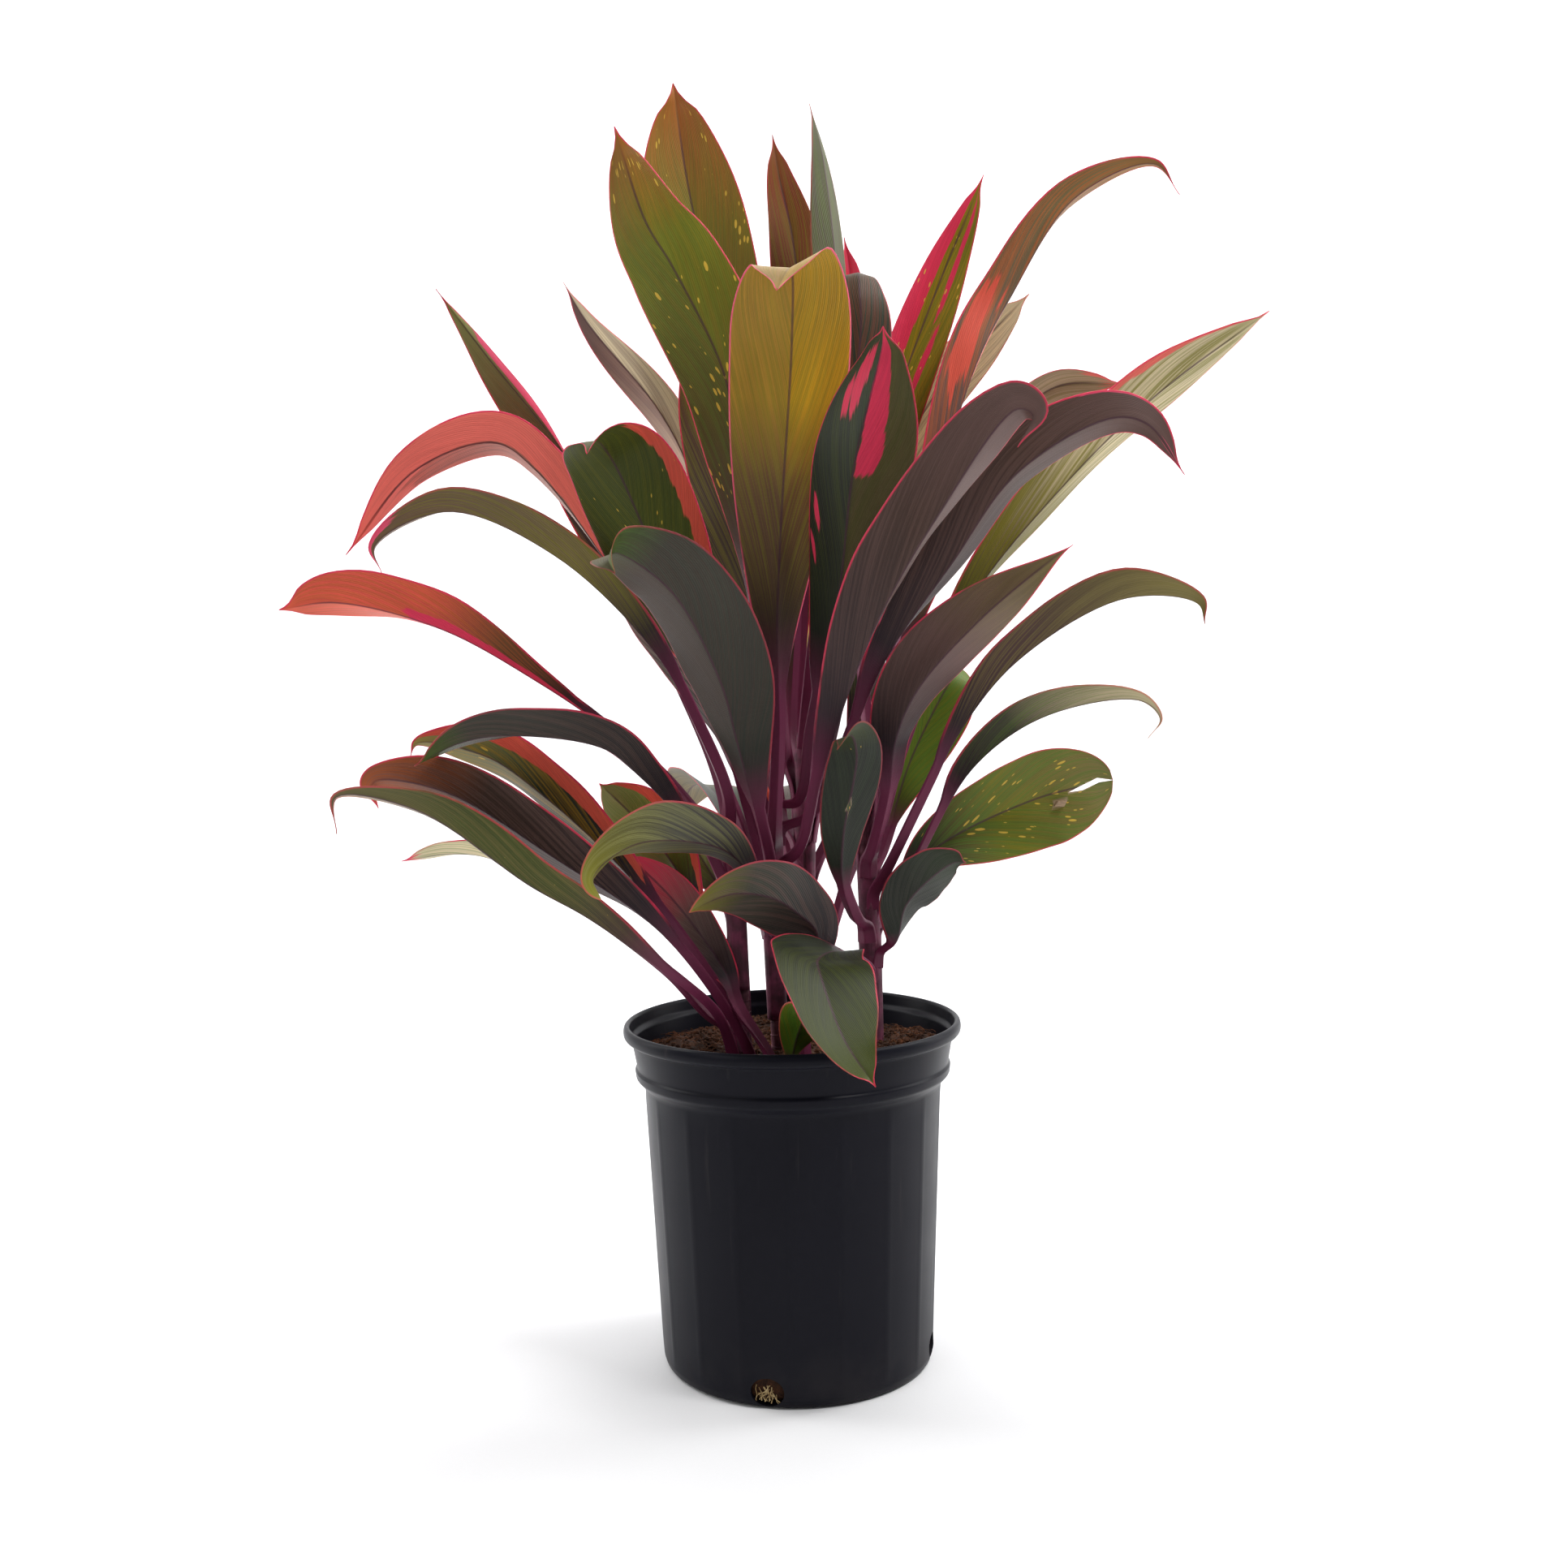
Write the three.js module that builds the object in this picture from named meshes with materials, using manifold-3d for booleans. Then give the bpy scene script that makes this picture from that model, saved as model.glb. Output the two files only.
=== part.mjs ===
// A ti plant with rainbow leaves in a round nursery pot.
// Units are millimetres, +Z is up, and the origin is the centre of the pot's base.
// The front of the plant faces -Y.
import * as THREE from 'three';
import { mergeVertices } from 'three/addons/utils/BufferGeometryUtils.js';
import Module from 'manifold-3d';

const wasm = await Module();
wasm.setup();

// Pot
const POT_HEIGHT = 264;
const RIM_RADIUS = 131;
const COLLAR_RADIUS = 124;
const COLLAR_BOTTOM = 225;
const BODY_TOP_RADIUS = 115;
const BODY_TOP = 215;
const BASE_RADIUS = 105.5;
const WALL = 2.6;
const FLOOR = 4.5;
const POT_SIDES = 36;

// Drain holes at the foot of the wall
const DRAIN_COUNT = 4;
const DRAIN_FIRST_TURN = -103;
const DRAIN_WIDTH = 25;
const DRAIN_RISE = 21;
const DRAIN_MIDDLE = 12.5;
const DRAIN_SIDES = 12;

// Soil
const SOIL_TOP = 240;
const SOIL_SIDES = 30;
const SOIL_GAP = 0.4;
const HOLE_DEPTH = 20;
const SEAT_GAP = 0.35;

// Canes
const CANE_RADIUS = 6.5;
const CANE_SIDES = 8;
const CANE_FOOT = SOIL_TOP - HOLE_DEPTH + SEAT_GAP;
const NODE_RING_STEP = 42;

// Leaves
const CLASP_GAP = 1;
const CLASP_LENGTH = 12;
const CLASP_LEAN = 2;
const SHEATH_HALF_WIDTH = 6;
const PETIOLE_HALF_WIDTH = 4.2;
const SHEATH_SHARE = 0.14;
const PETIOLE_THICKNESS = 3.6;
const BLADE_THICKNESS = 1.1;
const TIP_HALF_WIDTH = 0.9;
const WIDEST_SHARE = 0.6;
const BASE_TAPER = 1.1;
const STATIONS = 13;
const ACROSS = [-1, -0.5, 0, 0.5, 1];
const CHANNEL_DEPTH = 0.5;
const BLADE_DEPTH = 0.26;
const EDGE_WAVE = 0.055;
const LEAF_HOLE_RADIUS = 10;
const LEAF_HOLE_DEPTH = 12;

const LEAF_COLOURS = {
  golden: 0x8a7a2c,
  green: 0x5c6b30,
  dark: 0x4a4038,
  pink: 0xb85a6a,
  pale: 0xa8957a,
};

// Canes run from their foot in the soil to their growing tip
const CANES = {
  left: { foot: [-36, -14, CANE_FOOT], tip: [-43, -15, 412] },
  middle: { foot: [-10, -8, CANE_FOOT], tip: [-13, -7, 454] },
  right: { foot: [64, 2, CANE_FOOT], tip: [59, 5, 442] },
  back: { foot: [12, 48, CANE_FOOT], tip: [14, 53, 492] },
};

// Leaves, each in a list of its own cane from the lowest up. A leaf leaves its cane at a height,
// turned round it by a number of degrees, and its midrib runs through points chosen by hand.
// The petiole is a share of the length, and roll and twist turn the blade about its midrib.
const LEFT_LEAVES = [
  // Low pale blade, flat at its end
  {
    name: 'left_leaf_1', height: 244, turn: 172, width: 50,
    petiole: 0.34, roll: 30, look: 'pale',
    midrib: [[-65, -15, 270], [-95, -20, 305], [-175, -20, 365], [-225, -20, 395], [-255, -20, 400],
      [-295, -20, 395]],
  },
  // Blade with gold flecks and a hooked tip
  {
    name: 'left_leaf_2', height: 262, turn: -150, width: 52,
    petiole: 0.36, roll: 30, tail: 1.4, look: 'golden',
    midrib: [[-110, -50, 375], [-185, -60, 450], [-220, -65, 475], [-270, -65, 485], [-275, -65, 475]],
  },
  // Short olive blade with a red edge
  {
    name: 'left_leaf_3', height: 306, turn: 168, width: 54,
    petiole: 0.3, roll: 85, look: 'green',
    midrib: [[-55, -10, 330], [-95, 0, 395], [-120, 0, 425], [-145, 0, 450]],
  },
  // Short pale blade, mostly hidden
  {
    name: 'left_leaf_4', height: 324, turn: 112, width: 40,
    petiole: 0.3, roll: -50, look: 'pale',
    midrib: [[-50, 15, 355], [-85, 40, 410], [-105, 50, 430]],
  },
  // Broad grey blade that arches low to the left
  {
    name: 'left_leaf_5', height: 352, turn: -120, width: 50,
    petiole: 0.3, roll: -5, widest: 0.55, look: 'dark',
    midrib: [[-50, -35, 375], [-65, -50, 410], [-105, -90, 460], [-130, -100, 480], [-195, -110, 490],
      [-230, -110, 485], [-260, -115, 470]],
  },
  // Thin upright blade with a wavy pink edge
  {
    name: 'left_leaf_6', height: 364, turn: 98, width: 46,
    petiole: 0.36, roll: -65, widest: 0.5, tail: 1.4, twist: 30, look: 'pink',
    midrib: [[-45, 10, 405], [-55, 30, 455], [-80, 45, 520], [-145, 60, 655], [-175, 65, 715],
      [-235, 70, 795], [-275, 70, 850]],
  },
  // Long pink blade that opens to an orange end
  {
    name: 'left_leaf_7', height: 378, turn: 176, width: 56,
    petiole: 0.38, roll: 50, widest: 0.72, twist: 15, look: 'pink',
    midrib: [[-50, -15, 395], [-95, -20, 460], [-135, -25, 495], [-185, -35, 530], [-255, -45, 570],
      [-330, -50, 590], [-370, -55, 585]],
  },
  // Long olive arch with a hanging tip
  {
    name: 'left_leaf_8', height: 397, turn: -118, width: 46,
    petiole: 0.34, roll: -35, widest: 0.5, tail: 1.3, look: 'green',
    midrib: [[-45, -45, 440], [-65, -55, 495], [-90, -60, 545], [-165, -50, 620], [-245, -50, 655],
      [-300, -50, 630], [-295, -50, 610]],
  },
];

const MIDDLE_LEAVES = [
  // Pink arch on the far left
  {
    name: 'middle_leaf_1', height: 327, turn: 160, width: 48,
    petiole: 0.36, roll: 65, widest: 0.55, tail: 1.2, twist: 15, look: 'pink',
    midrib: [[-25, -5, 380], [-65, 5, 490], [-125, 10, 605], [-190, 10, 695], [-220, 10, 715],
      [-280, 5, 695], [-335, 0, 630]],
  },
  // Front blade that curls over like a hook
  {
    name: 'middle_leaf_2', height: 330, turn: -100, width: 54,
    petiole: 0.28, roll: 30, tail: 0.8, look: 'dark',
    midrib: [[-20, -40, 360], [-35, -80, 395], [-55, -110, 410], [-105, -160, 415], [-130, -175, 395],
      [-125, -175, 380]],
  },
  // Dark front blade with a rolled tip
  {
    name: 'middle_leaf_3', height: 356, turn: -124, width: 80,
    petiole: 0.3, roll: 15, widest: 0.56, tail: 0.8, look: 'dark',
    midrib: [[-15, -35, 390], [-35, -90, 485], [-45, -110, 525], [-75, -140, 585], [-110, -160, 610],
      [-115, -170, 605], [-110, -175, 595]],
  },
  // Folded blade that bends over to the right
  {
    name: 'middle_leaf_4', height: 370, turn: -52, width: 70,
    petiole: 0.28, roll: -5, widest: 0.55, tail: 0.9, twist: -20, look: 'dark',
    midrib: [[10, -40, 400], [25, -70, 460], [60, -135, 555], [100, -180, 625], [150, -205, 690],
      [160, -210, 685], [150, -210, 665]],
  },
  // Grey brown blade behind the dark one
  {
    name: 'middle_leaf_5', height: 374, turn: -172, width: 58,
    petiole: 0.34, roll: 70, look: 'dark',
    midrib: [[-25, -15, 405], [-55, -20, 505], [-100, -20, 580], [-130, -25, 620]],
  },
  // Tall golden blade that faces the front and nods
  {
    name: 'middle_leaf_6', height: 386, turn: -80, width: 86,
    petiole: 0.34, roll: -5, widest: 0.72, tail: 0.8, look: 'golden',
    midrib: [[-10, -35, 410], [-5, -60, 490], [-5, -70, 560], [0, -85, 640], [10, -105, 760],
      [10, -140, 800], [0, -160, 780]],
  },
  // Broad brown blade with a hanging tip
  {
    name: 'middle_leaf_7', height: 400, turn: -20, width: 62,
    petiole: 0.3, roll: -45, widest: 0.5, tail: 1.3, look: 'dark',
    midrib: [[20, -20, 425], [70, -60, 535], [120, -90, 605], [165, -110, 665], [230, -115, 700],
      [255, -115, 695], [280, -115, 660]],
  },
  // Olive blade with one pink side and a bent tip
  {
    name: 'middle_leaf_8', height: 404, turn: -136, width: 86,
    petiole: 0.34, roll: 35, widest: 0.68, tail: 0.8, look: 'green',
    midrib: [[-15, -25, 425], [-30, -35, 475], [-75, -45, 575], [-95, -55, 625], [-120, -70, 685],
      [-130, -100, 695], [-135, -105, 685]],
  },
  // Brown blade behind the tall ones
  {
    name: 'middle_leaf_9', height: 412, turn: 92, width: 70,
    petiole: 0.34, roll: -5, look: 'golden',
    midrib: [[-5, 20, 475], [-25, 45, 595], [-35, 50, 665], [-45, 55, 735], [-55, 55, 785],
      [-70, 55, 825]],
  },
  // Dark blade with pink patches
  {
    name: 'middle_leaf_10', height: 418, turn: -50, width: 80,
    petiole: 0.36, roll: -50, tail: 0.9, twist: -20, look: 'dark',
    midrib: [[10, -30, 435], [20, -50, 490], [40, -95, 585], [50, -130, 665], [65, -145, 725],
      [70, -150, 745], [70, -160, 755]],
  },
  // Tall olive blade that leans to the left
  {
    name: 'middle_leaf_11', height: 426, turn: 180, width: 76,
    petiole: 0.32, roll: 80, look: 'golden',
    midrib: [[-15, -5, 460], [-20, -10, 540], [-30, -20, 690], [-40, -30, 755], [-75, -40, 830],
      [-95, -40, 865], [-115, -50, 930]],
  },
];

const RIGHT_LEAVES = [
  // Blade that folds over the rim of the pot
  {
    name: 'right_leaf_1', height: 290, turn: -118, width: 74,
    petiole: 0.22, roll: -15, widest: 0.5, look: 'green',
    midrib: [[35, -60, 325], [20, -95, 325], [20, -125, 320], [35, -160, 280], [55, -170, 250]],
  },
  // Small dark blade
  {
    name: 'right_leaf_2', height: 302, turn: -26, width: 52,
    petiole: 0.22, roll: -35, look: 'dark',
    midrib: [[80, -10, 325], [90, -20, 355], [125, -25, 385], [135, -25, 385]],
  },
  // Broad green blade with a blunt torn end
  {
    name: 'right_leaf_3', height: 316, turn: 46, width: 80,
    petiole: 0.26, roll: 70, widest: 0.66, tail: 0.6, look: 'green',
    midrib: [[80, 20, 340], [95, 40, 365], [120, 50, 390], [200, 70, 425], [240, 75, 435],
      [270, 80, 440]],
  },
  // Small folded blade
  {
    name: 'right_leaf_4', height: 322, turn: -112, width: 42,
    petiole: 0.34, roll: 30, tail: 0.8, look: 'dark',
    midrib: [[50, -30, 345], [40, -50, 375], [40, -70, 410], [50, -95, 470], [45, -110, 485],
      [35, -120, 475]],
  },
  // Narrow twisted blade with a long thin tip
  {
    name: 'right_leaf_5', height: 332, turn: 10, width: 40,
    petiole: 0.34, roll: -60, widest: 0.42, tail: 2, twist: 35, look: 'dark',
    midrib: [[80, 10, 350], [100, 10, 385], [145, 20, 455], [205, 20, 495], [280, 20, 505],
      [295, 20, 490], [285, 20, 475]],
  },
  // Long arching blade with a wide end
  {
    name: 'right_leaf_6', height: 348, turn: -42, width: 48,
    petiole: 0.34, roll: -5, widest: 0.62, tail: 0.9, twist: 25, look: 'dark',
    midrib: [[75, -10, 375], [110, -35, 450], [125, -40, 480], [170, -50, 535], [250, -55, 580],
      [305, -55, 575], [310, -55, 560]],
  },
  // Short round green blade
  {
    name: 'right_leaf_7', height: 360, turn: 56, width: 58,
    petiole: 0.3, roll: 40, widest: 0.66, tail: 0.7, look: 'green',
    midrib: [[75, 25, 390], [100, 50, 460], [135, 60, 525], [145, 75, 535]],
  },
  // Brown blade that twists at its end
  {
    name: 'right_leaf_8', height: 372, turn: -76, width: 64,
    petiole: 0.3, roll: -5, widest: 0.42, tail: 1.6, twist: -35, look: 'dark',
    midrib: [[65, -20, 395], [75, -45, 440], [80, -60, 480], [95, -75, 515], [140, -95, 565],
      [190, -100, 605], [205, -100, 615]],
  },
  // Longest pale blade, straight out to the right
  {
    name: 'right_leaf_9', height: 388, turn: -20, width: 52,
    petiole: 0.3, roll: -40, tail: 1.1, look: 'pale',
    midrib: [[75, -10, 420], [90, -10, 470], [135, -20, 575], [215, -20, 670], [285, -20, 735],
      [370, -20, 795]],
  },
  // Pale brown blade behind the others
  {
    name: 'right_leaf_10', height: 402, turn: 78, width: 50,
    petiole: 0.34, roll: 45, widest: 0.55, tail: 0.9, look: 'pale',
    midrib: [[70, 30, 435], [80, 50, 490], [125, 80, 635], [160, 85, 695], [195, 90, 740],
      [230, 90, 765], [285, 85, 765]],
  },
  // Tall thin arch on the right
  {
    name: 'right_leaf_11', height: 418, turn: 30, width: 54,
    petiole: 0.32, roll: -80, widest: 0.5, tail: 1.6, twist: 30, look: 'pink',
    midrib: [[80, 20, 520], [115, 40, 650], [160, 60, 780], [190, 75, 835], [245, 80, 915],
      [310, 80, 940], [330, 80, 915]],
  },
  // Pale upright blade
  {
    name: 'right_leaf_12', height: 432, turn: 112, width: 54,
    petiole: 0.32, roll: -10, look: 'pale',
    midrib: [[65, 50, 475], [65, 85, 540], [80, 115, 620], [100, 135, 700], [130, 150, 765],
      [175, 155, 815], [220, 160, 860]],
  },
];

const BACK_LEAVES = [
  // Pale blade with turned edges
  {
    name: 'back_leaf_1', height: 384, turn: 160, width: 50,
    petiole: 0.34, roll: 85, widest: 0.5, tail: 1.2, twist: 25, look: 'pale',
    midrib: [[-5, 60, 415], [-20, 65, 475], [-35, 75, 550], [-75, 90, 705], [-100, 90, 755],
      [-155, 95, 825], [-175, 95, 860]],
  },
  // Upright blade with pink stripes
  {
    name: 'back_leaf_2', height: 396, turn: 22, width: 52,
    petiole: 0.34, roll: 75, widest: 0.5, look: 'pink',
    midrib: [[30, 55, 445], [40, 70, 515], [75, 90, 675], [95, 100, 750], [140, 110, 865],
      [160, 110, 910], [175, 110, 945]],
  },
  // Narrow red blade at the back
  {
    name: 'back_leaf_3', height: 414, turn: 92, width: 40,
    petiole: 0.34, roll: 5, look: 'pink',
    midrib: [[15, 90, 445], [25, 115, 520], [40, 135, 610], [50, 145, 710], [60, 150, 800],
      [65, 155, 870], [60, 155, 910]],
  },
  // The tallest blade
  {
    name: 'back_leaf_4', height: 430, turn: 156, width: 84,
    petiole: 0.34, roll: -65, widest: 0.66, tail: 0.9, look: 'golden',
    midrib: [[0, 60, 460], [-5, 65, 540], [-15, 70, 635], [-30, 75, 725], [-45, 80, 805],
      [-70, 85, 935], [-80, 85, 1015]],
  },
  // Upright brown blade
  {
    name: 'back_leaf_5', height: 446, turn: 88, width: 48,
    petiole: 0.34, roll: 10, look: 'golden',
    midrib: [[10, 80, 485], [15, 100, 570], [20, 110, 665], [25, 110, 760], [15, 120, 900],
      [5, 120, 950], [0, 120, 985]],
  },
  // Upright olive blade seen edge on
  {
    name: 'back_leaf_6', height: 458, turn: 24, width: 48,
    petiole: 0.34, roll: -60, tail: 1.2, look: 'golden',
    midrib: [[25, 60, 500], [30, 60, 580], [40, 65, 665], [45, 65, 750], [50, 70, 820],
      [40, 70, 945], [30, 70, 990]],
  },
  // Dark blade that folds back at its top
  {
    name: 'back_leaf_7', height: 472, turn: -66, width: 52,
    petiole: 0.32, roll: -20, widest: 0.7, tail: 0.7, look: 'dark',
    midrib: [[20, 35, 520], [30, 30, 590], [45, 20, 665], [65, 20, 795], [65, 25, 830],
      [65, 35, 845], [65, 50, 840]],
  },
  // Low blade that arches to the back
  {
    name: 'back_leaf_8', height: 262, turn: 100, width: 66,
    petiole: 0.3, roll: 0, look: 'dark',
    midrib: [[8, 85, 300], [2, 145, 385], [-8, 215, 430], [-14, 275, 425], [-18, 325, 390]],
  },
  // Arching blade at the back right
  {
    name: 'back_leaf_9', height: 280, turn: 50, width: 62,
    petiole: 0.3, roll: 10, look: 'green',
    midrib: [[34, 82, 315], [65, 135, 400], [98, 195, 455], [122, 250, 460], [140, 295, 430]],
  },
  // Arching blade at the back left
  {
    name: 'back_leaf_10', height: 298, turn: 140, width: 60,
    petiole: 0.3, roll: 0, look: 'dark',
    midrib: [[-14, 85, 335], [-42, 140, 400], [-68, 195, 435], [-88, 245, 435], [-104, 290, 405]],
  },
  // High arch straight to the back
  {
    name: 'back_leaf_11', height: 316, turn: 85, width: 70,
    petiole: 0.32, roll: 0, look: 'golden',
    midrib: [[16, 88, 360], [24, 145, 480], [35, 210, 565], [45, 270, 600], [52, 325, 590]],
  },
  // Arch between the left and the back
  {
    name: 'back_leaf_12', height: 334, turn: 125, width: 64,
    petiole: 0.32, roll: 0, look: 'pink',
    midrib: [[-2, 88, 390], [-18, 140, 520], [-36, 195, 610], [-54, 245, 660], [-70, 290, 665]],
  },
  // Arch between the right and the back
  {
    name: 'back_leaf_13', height: 352, turn: 48, width: 62,
    petiole: 0.32, roll: 10, look: 'green',
    midrib: [[40, 84, 410], [74, 130, 530], [102, 175, 620], [124, 220, 680], [142, 268, 700]],
  },
  // Steep blade at the back
  {
    name: 'back_leaf_14', height: 368, turn: 110, width: 68,
    petiole: 0.32, roll: 0, look: 'golden',
    midrib: [[8, 92, 430], [2, 132, 570], [-4, 172, 690], [-12, 218, 775], [-20, 264, 815]],
  },
];

// Leaves of young shoots that stand in the soil at [x, y]
const SOIL_LEAVES = [
  // Lowest left blade, hooked at its tip
  {
    name: 'soil_leaf_1', stand: [-46, -50], width: 44,
    petiole: 0.3, roll: 30, widest: 0.5, tail: 2, look: 'green',
    midrib: [[-55, -65, 280], [-80, -85, 310], [-140, -110, 360], [-180, -120, 385], [-255, -130, 440],
      [-310, -135, 450], [-310, -135, 425]],
  },
  // Dark purple blade with a gold hooked tip
  {
    name: 'soil_leaf_2', stand: [-34, -32], width: 52,
    petiole: 0.32, roll: 45, look: 'dark',
    midrib: [[-50, -40, 280], [-95, -65, 345], [-165, -90, 400], [-240, -100, 450], [-290, -100, 460],
      [-295, -100, 455], [-290, -100, 440]],
  },
  // Short mauve blade
  {
    name: 'soil_leaf_3', stand: [-18, -44], width: 40,
    petiole: 0.34, roll: -80, look: 'green',
    midrib: [[-40, -40, 280], [-50, -25, 305], [-90, -10, 360], [-125, -5, 395]],
  },
  // Low front blade that curls to the left
  {
    name: 'soil_leaf_4', stand: [8, -36], width: 56,
    petiole: 0.3, roll: 20, widest: 0.5, look: 'dark',
    midrib: [[10, -35, 280], [20, -45, 335], [5, -65, 355], [-15, -90, 370], [-40, -110, 375],
      [-60, -125, 370], [-70, -130, 365]],
  },
  // Small pale blade close to the soil
  {
    name: 'soil_leaf_5', stand: [-2, -66], width: 36,
    petiole: 0.22, roll: -35, widest: 0.55, look: 'pale',
    midrib: [[5, -80, 270], [10, -90, 280], [25, -110, 265]],
  },
];

const LEAVES = [
  ...LEFT_LEAVES.map((leaf) => ({ ...leaf, cane: 'left' })),
  ...MIDDLE_LEAVES.map((leaf) => ({ ...leaf, cane: 'middle' })),
  ...RIGHT_LEAVES.map((leaf) => ({ ...leaf, cane: 'right' })),
  ...BACK_LEAVES.map((leaf) => ({ ...leaf, cane: 'back' })),
  ...SOIL_LEAVES,
];

const radians = THREE.MathUtils.degToRad;
const lerp = THREE.MathUtils.lerp;
const smooth = THREE.MathUtils.smoothstep;

function material(color, roughness) {
  return new THREE.MeshStandardMaterial({ color, roughness, metalness: 0 });
}

// A closed body for joining and cutting, made from a geometry's positions
function solidOf(geometry) {
  const plain = geometry.clone();
  plain.deleteAttribute('normal');
  plain.deleteAttribute('uv');
  const merged = mergeVertices(plain, 1e-4);
  return new wasm.Manifold(new wasm.Mesh({
    numProp: 3,
    vertProperties: Float32Array.from(merged.attributes.position.array),
    triVerts: Uint32Array.from(merged.index.array),
  }));
}

function geometryOf(solid) {
  const mesh = solid.getMesh();
  const geometry = new THREE.BufferGeometry();
  geometry.setAttribute('position', new THREE.BufferAttribute(mesh.vertProperties, 3));
  geometry.setIndex(new THREE.BufferAttribute(mesh.triVerts, 1));
  return geometry;
}

// A profile of [radius, height] pairs turned round the Z axis
function turned(profile, sides) {
  const points = profile.map(([radius, height]) => new THREE.Vector2(radius, height));
  return new THREE.LatheGeometry(points, sides).rotateX(Math.PI / 2);
}

function uprightCylinder(radius, bottom, top, x, y, sides) {
  const cylinder = new THREE.CylinderGeometry(radius, radius, top - bottom, sides);
  return cylinder.rotateX(Math.PI / 2).translate(x, y, (bottom + top) / 2);
}

// Pot: rolled lip, collar, step ring and tapered body with four drain holes
function potGeometry() {
  const profile = [
    [0, 0], [BASE_RADIUS - 7, 0], [BASE_RADIUS - 1.5, 2], [BASE_RADIUS, 7],
    [BODY_TOP_RADIUS, BODY_TOP], [COLLAR_RADIUS - 4.5, COLLAR_BOTTOM - 3],
    [COLLAR_RADIUS - 2.5, COLLAR_BOTTOM + 1], [COLLAR_RADIUS - 2, COLLAR_BOTTOM + 6],
    [COLLAR_RADIUS + 0.5, POT_HEIGHT - 13], [RIM_RADIUS - 1.5, POT_HEIGHT - 10.5],
    [RIM_RADIUS, POT_HEIGHT - 6], [RIM_RADIUS - 1, POT_HEIGHT - 1.5],
    [RIM_RADIUS - 3, POT_HEIGHT], [RIM_RADIUS - 5, POT_HEIGHT - 1.5],
    [COLLAR_RADIUS + 1, POT_HEIGHT - 10], [COLLAR_RADIUS - 2, POT_HEIGHT - 13],
    [COLLAR_RADIUS - 4.5, COLLAR_BOTTOM + 6], [BODY_TOP_RADIUS - WALL, BODY_TOP],
    [BASE_RADIUS - WALL, 8], [BASE_RADIUS - WALL - 3, FLOOR], [0, FLOOR],
  ];
  let pot = solidOf(turned(profile, POT_SIDES));
  for (let i = 0; i < DRAIN_COUNT; i += 1) {
    const turn = radians(DRAIN_FIRST_TURN + (i * 360) / DRAIN_COUNT);
    const hole = new THREE.CylinderGeometry(DRAIN_RISE / 2, DRAIN_RISE / 2, 24, DRAIN_SIDES);
    hole.rotateZ(Math.PI / 2).scale(1, DRAIN_WIDTH / DRAIN_RISE, 1);
    hole.translate(BASE_RADIUS - 2, 0, DRAIN_MIDDLE).rotateZ(turn);
    pot = pot.subtract(solidOf(hole));
  }
  return geometryOf(pot);
}

// Low mounds and hollows of the soil, given as a height above its mean level
function soilRelief(x, y) {
  const left = 9 * Math.exp(-((x + 82) ** 2 + (y + 8) ** 2) / 900);
  const right = 7 * Math.exp(-((x - 92) ** 2 + (y - 10) ** 2) / 1100);
  const back = 5 * Math.exp(-((x + 25) ** 2 + (y - 88) ** 2) / 900);
  const lumps = 1.3 * Math.sin(x * 0.13 + 1) * Math.cos(y * 0.15);
  return left + right + back + lumps;
}

// Soil: fills the pot up to a lumpy top, with plain holes for canes and stalks
function soilGeometry(stands) {
  const inner = BASE_RADIUS - WALL - SOIL_GAP;
  const top = BODY_TOP_RADIUS - WALL - SOIL_GAP;
  const profile = [
    [0, FLOOR + SOIL_GAP], [inner - 3.5, FLOOR + SOIL_GAP], [inner - 0.5, 9],
    [top - 0.5, BODY_TOP], [COLLAR_RADIUS - 6, SOIL_TOP - 10], [COLLAR_RADIUS - 6, SOIL_TOP - 3],
    [COLLAR_RADIUS - 11, SOIL_TOP], [98, SOIL_TOP], [80, SOIL_TOP], [60, SOIL_TOP],
    [38, SOIL_TOP], [18, SOIL_TOP], [0, SOIL_TOP],
  ];
  const body = turned(profile, SOIL_SIDES);
  const position = body.attributes.position;
  for (let i = 0; i < position.count; i += 1) {
    if (position.getZ(i) > SOIL_TOP - 0.01) {
      position.setZ(i, SOIL_TOP + soilRelief(position.getX(i), position.getY(i)));
    }
  }
  let soil = solidOf(body);
  for (const { foot } of Object.values(CANES)) {
    const [x, y] = foot;
    const hole = uprightCylinder(CANE_RADIUS + 2 * SEAT_GAP + 0.3, SOIL_TOP - HOLE_DEPTH,
      SOIL_TOP + 20, x, y, CANE_SIDES);
    soil = soil.subtract(solidOf(hole));
  }
  for (const [x, y] of stands) {
    const hole = uprightCylinder(LEAF_HOLE_RADIUS, SOIL_TOP - LEAF_HOLE_DEPTH,
      SOIL_TOP + 20, x, y, CANE_SIDES);
    soil = soil.subtract(solidOf(hole));
  }
  return geometryOf(soil);
}

function canePoint(cane, height) {
  const foot = new THREE.Vector3(...cane.foot);
  const tip = new THREE.Vector3(...cane.tip);
  return foot.lerp(tip, (height - cane.foot[2]) / (cane.tip[2] - cane.foot[2]));
}

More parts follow.
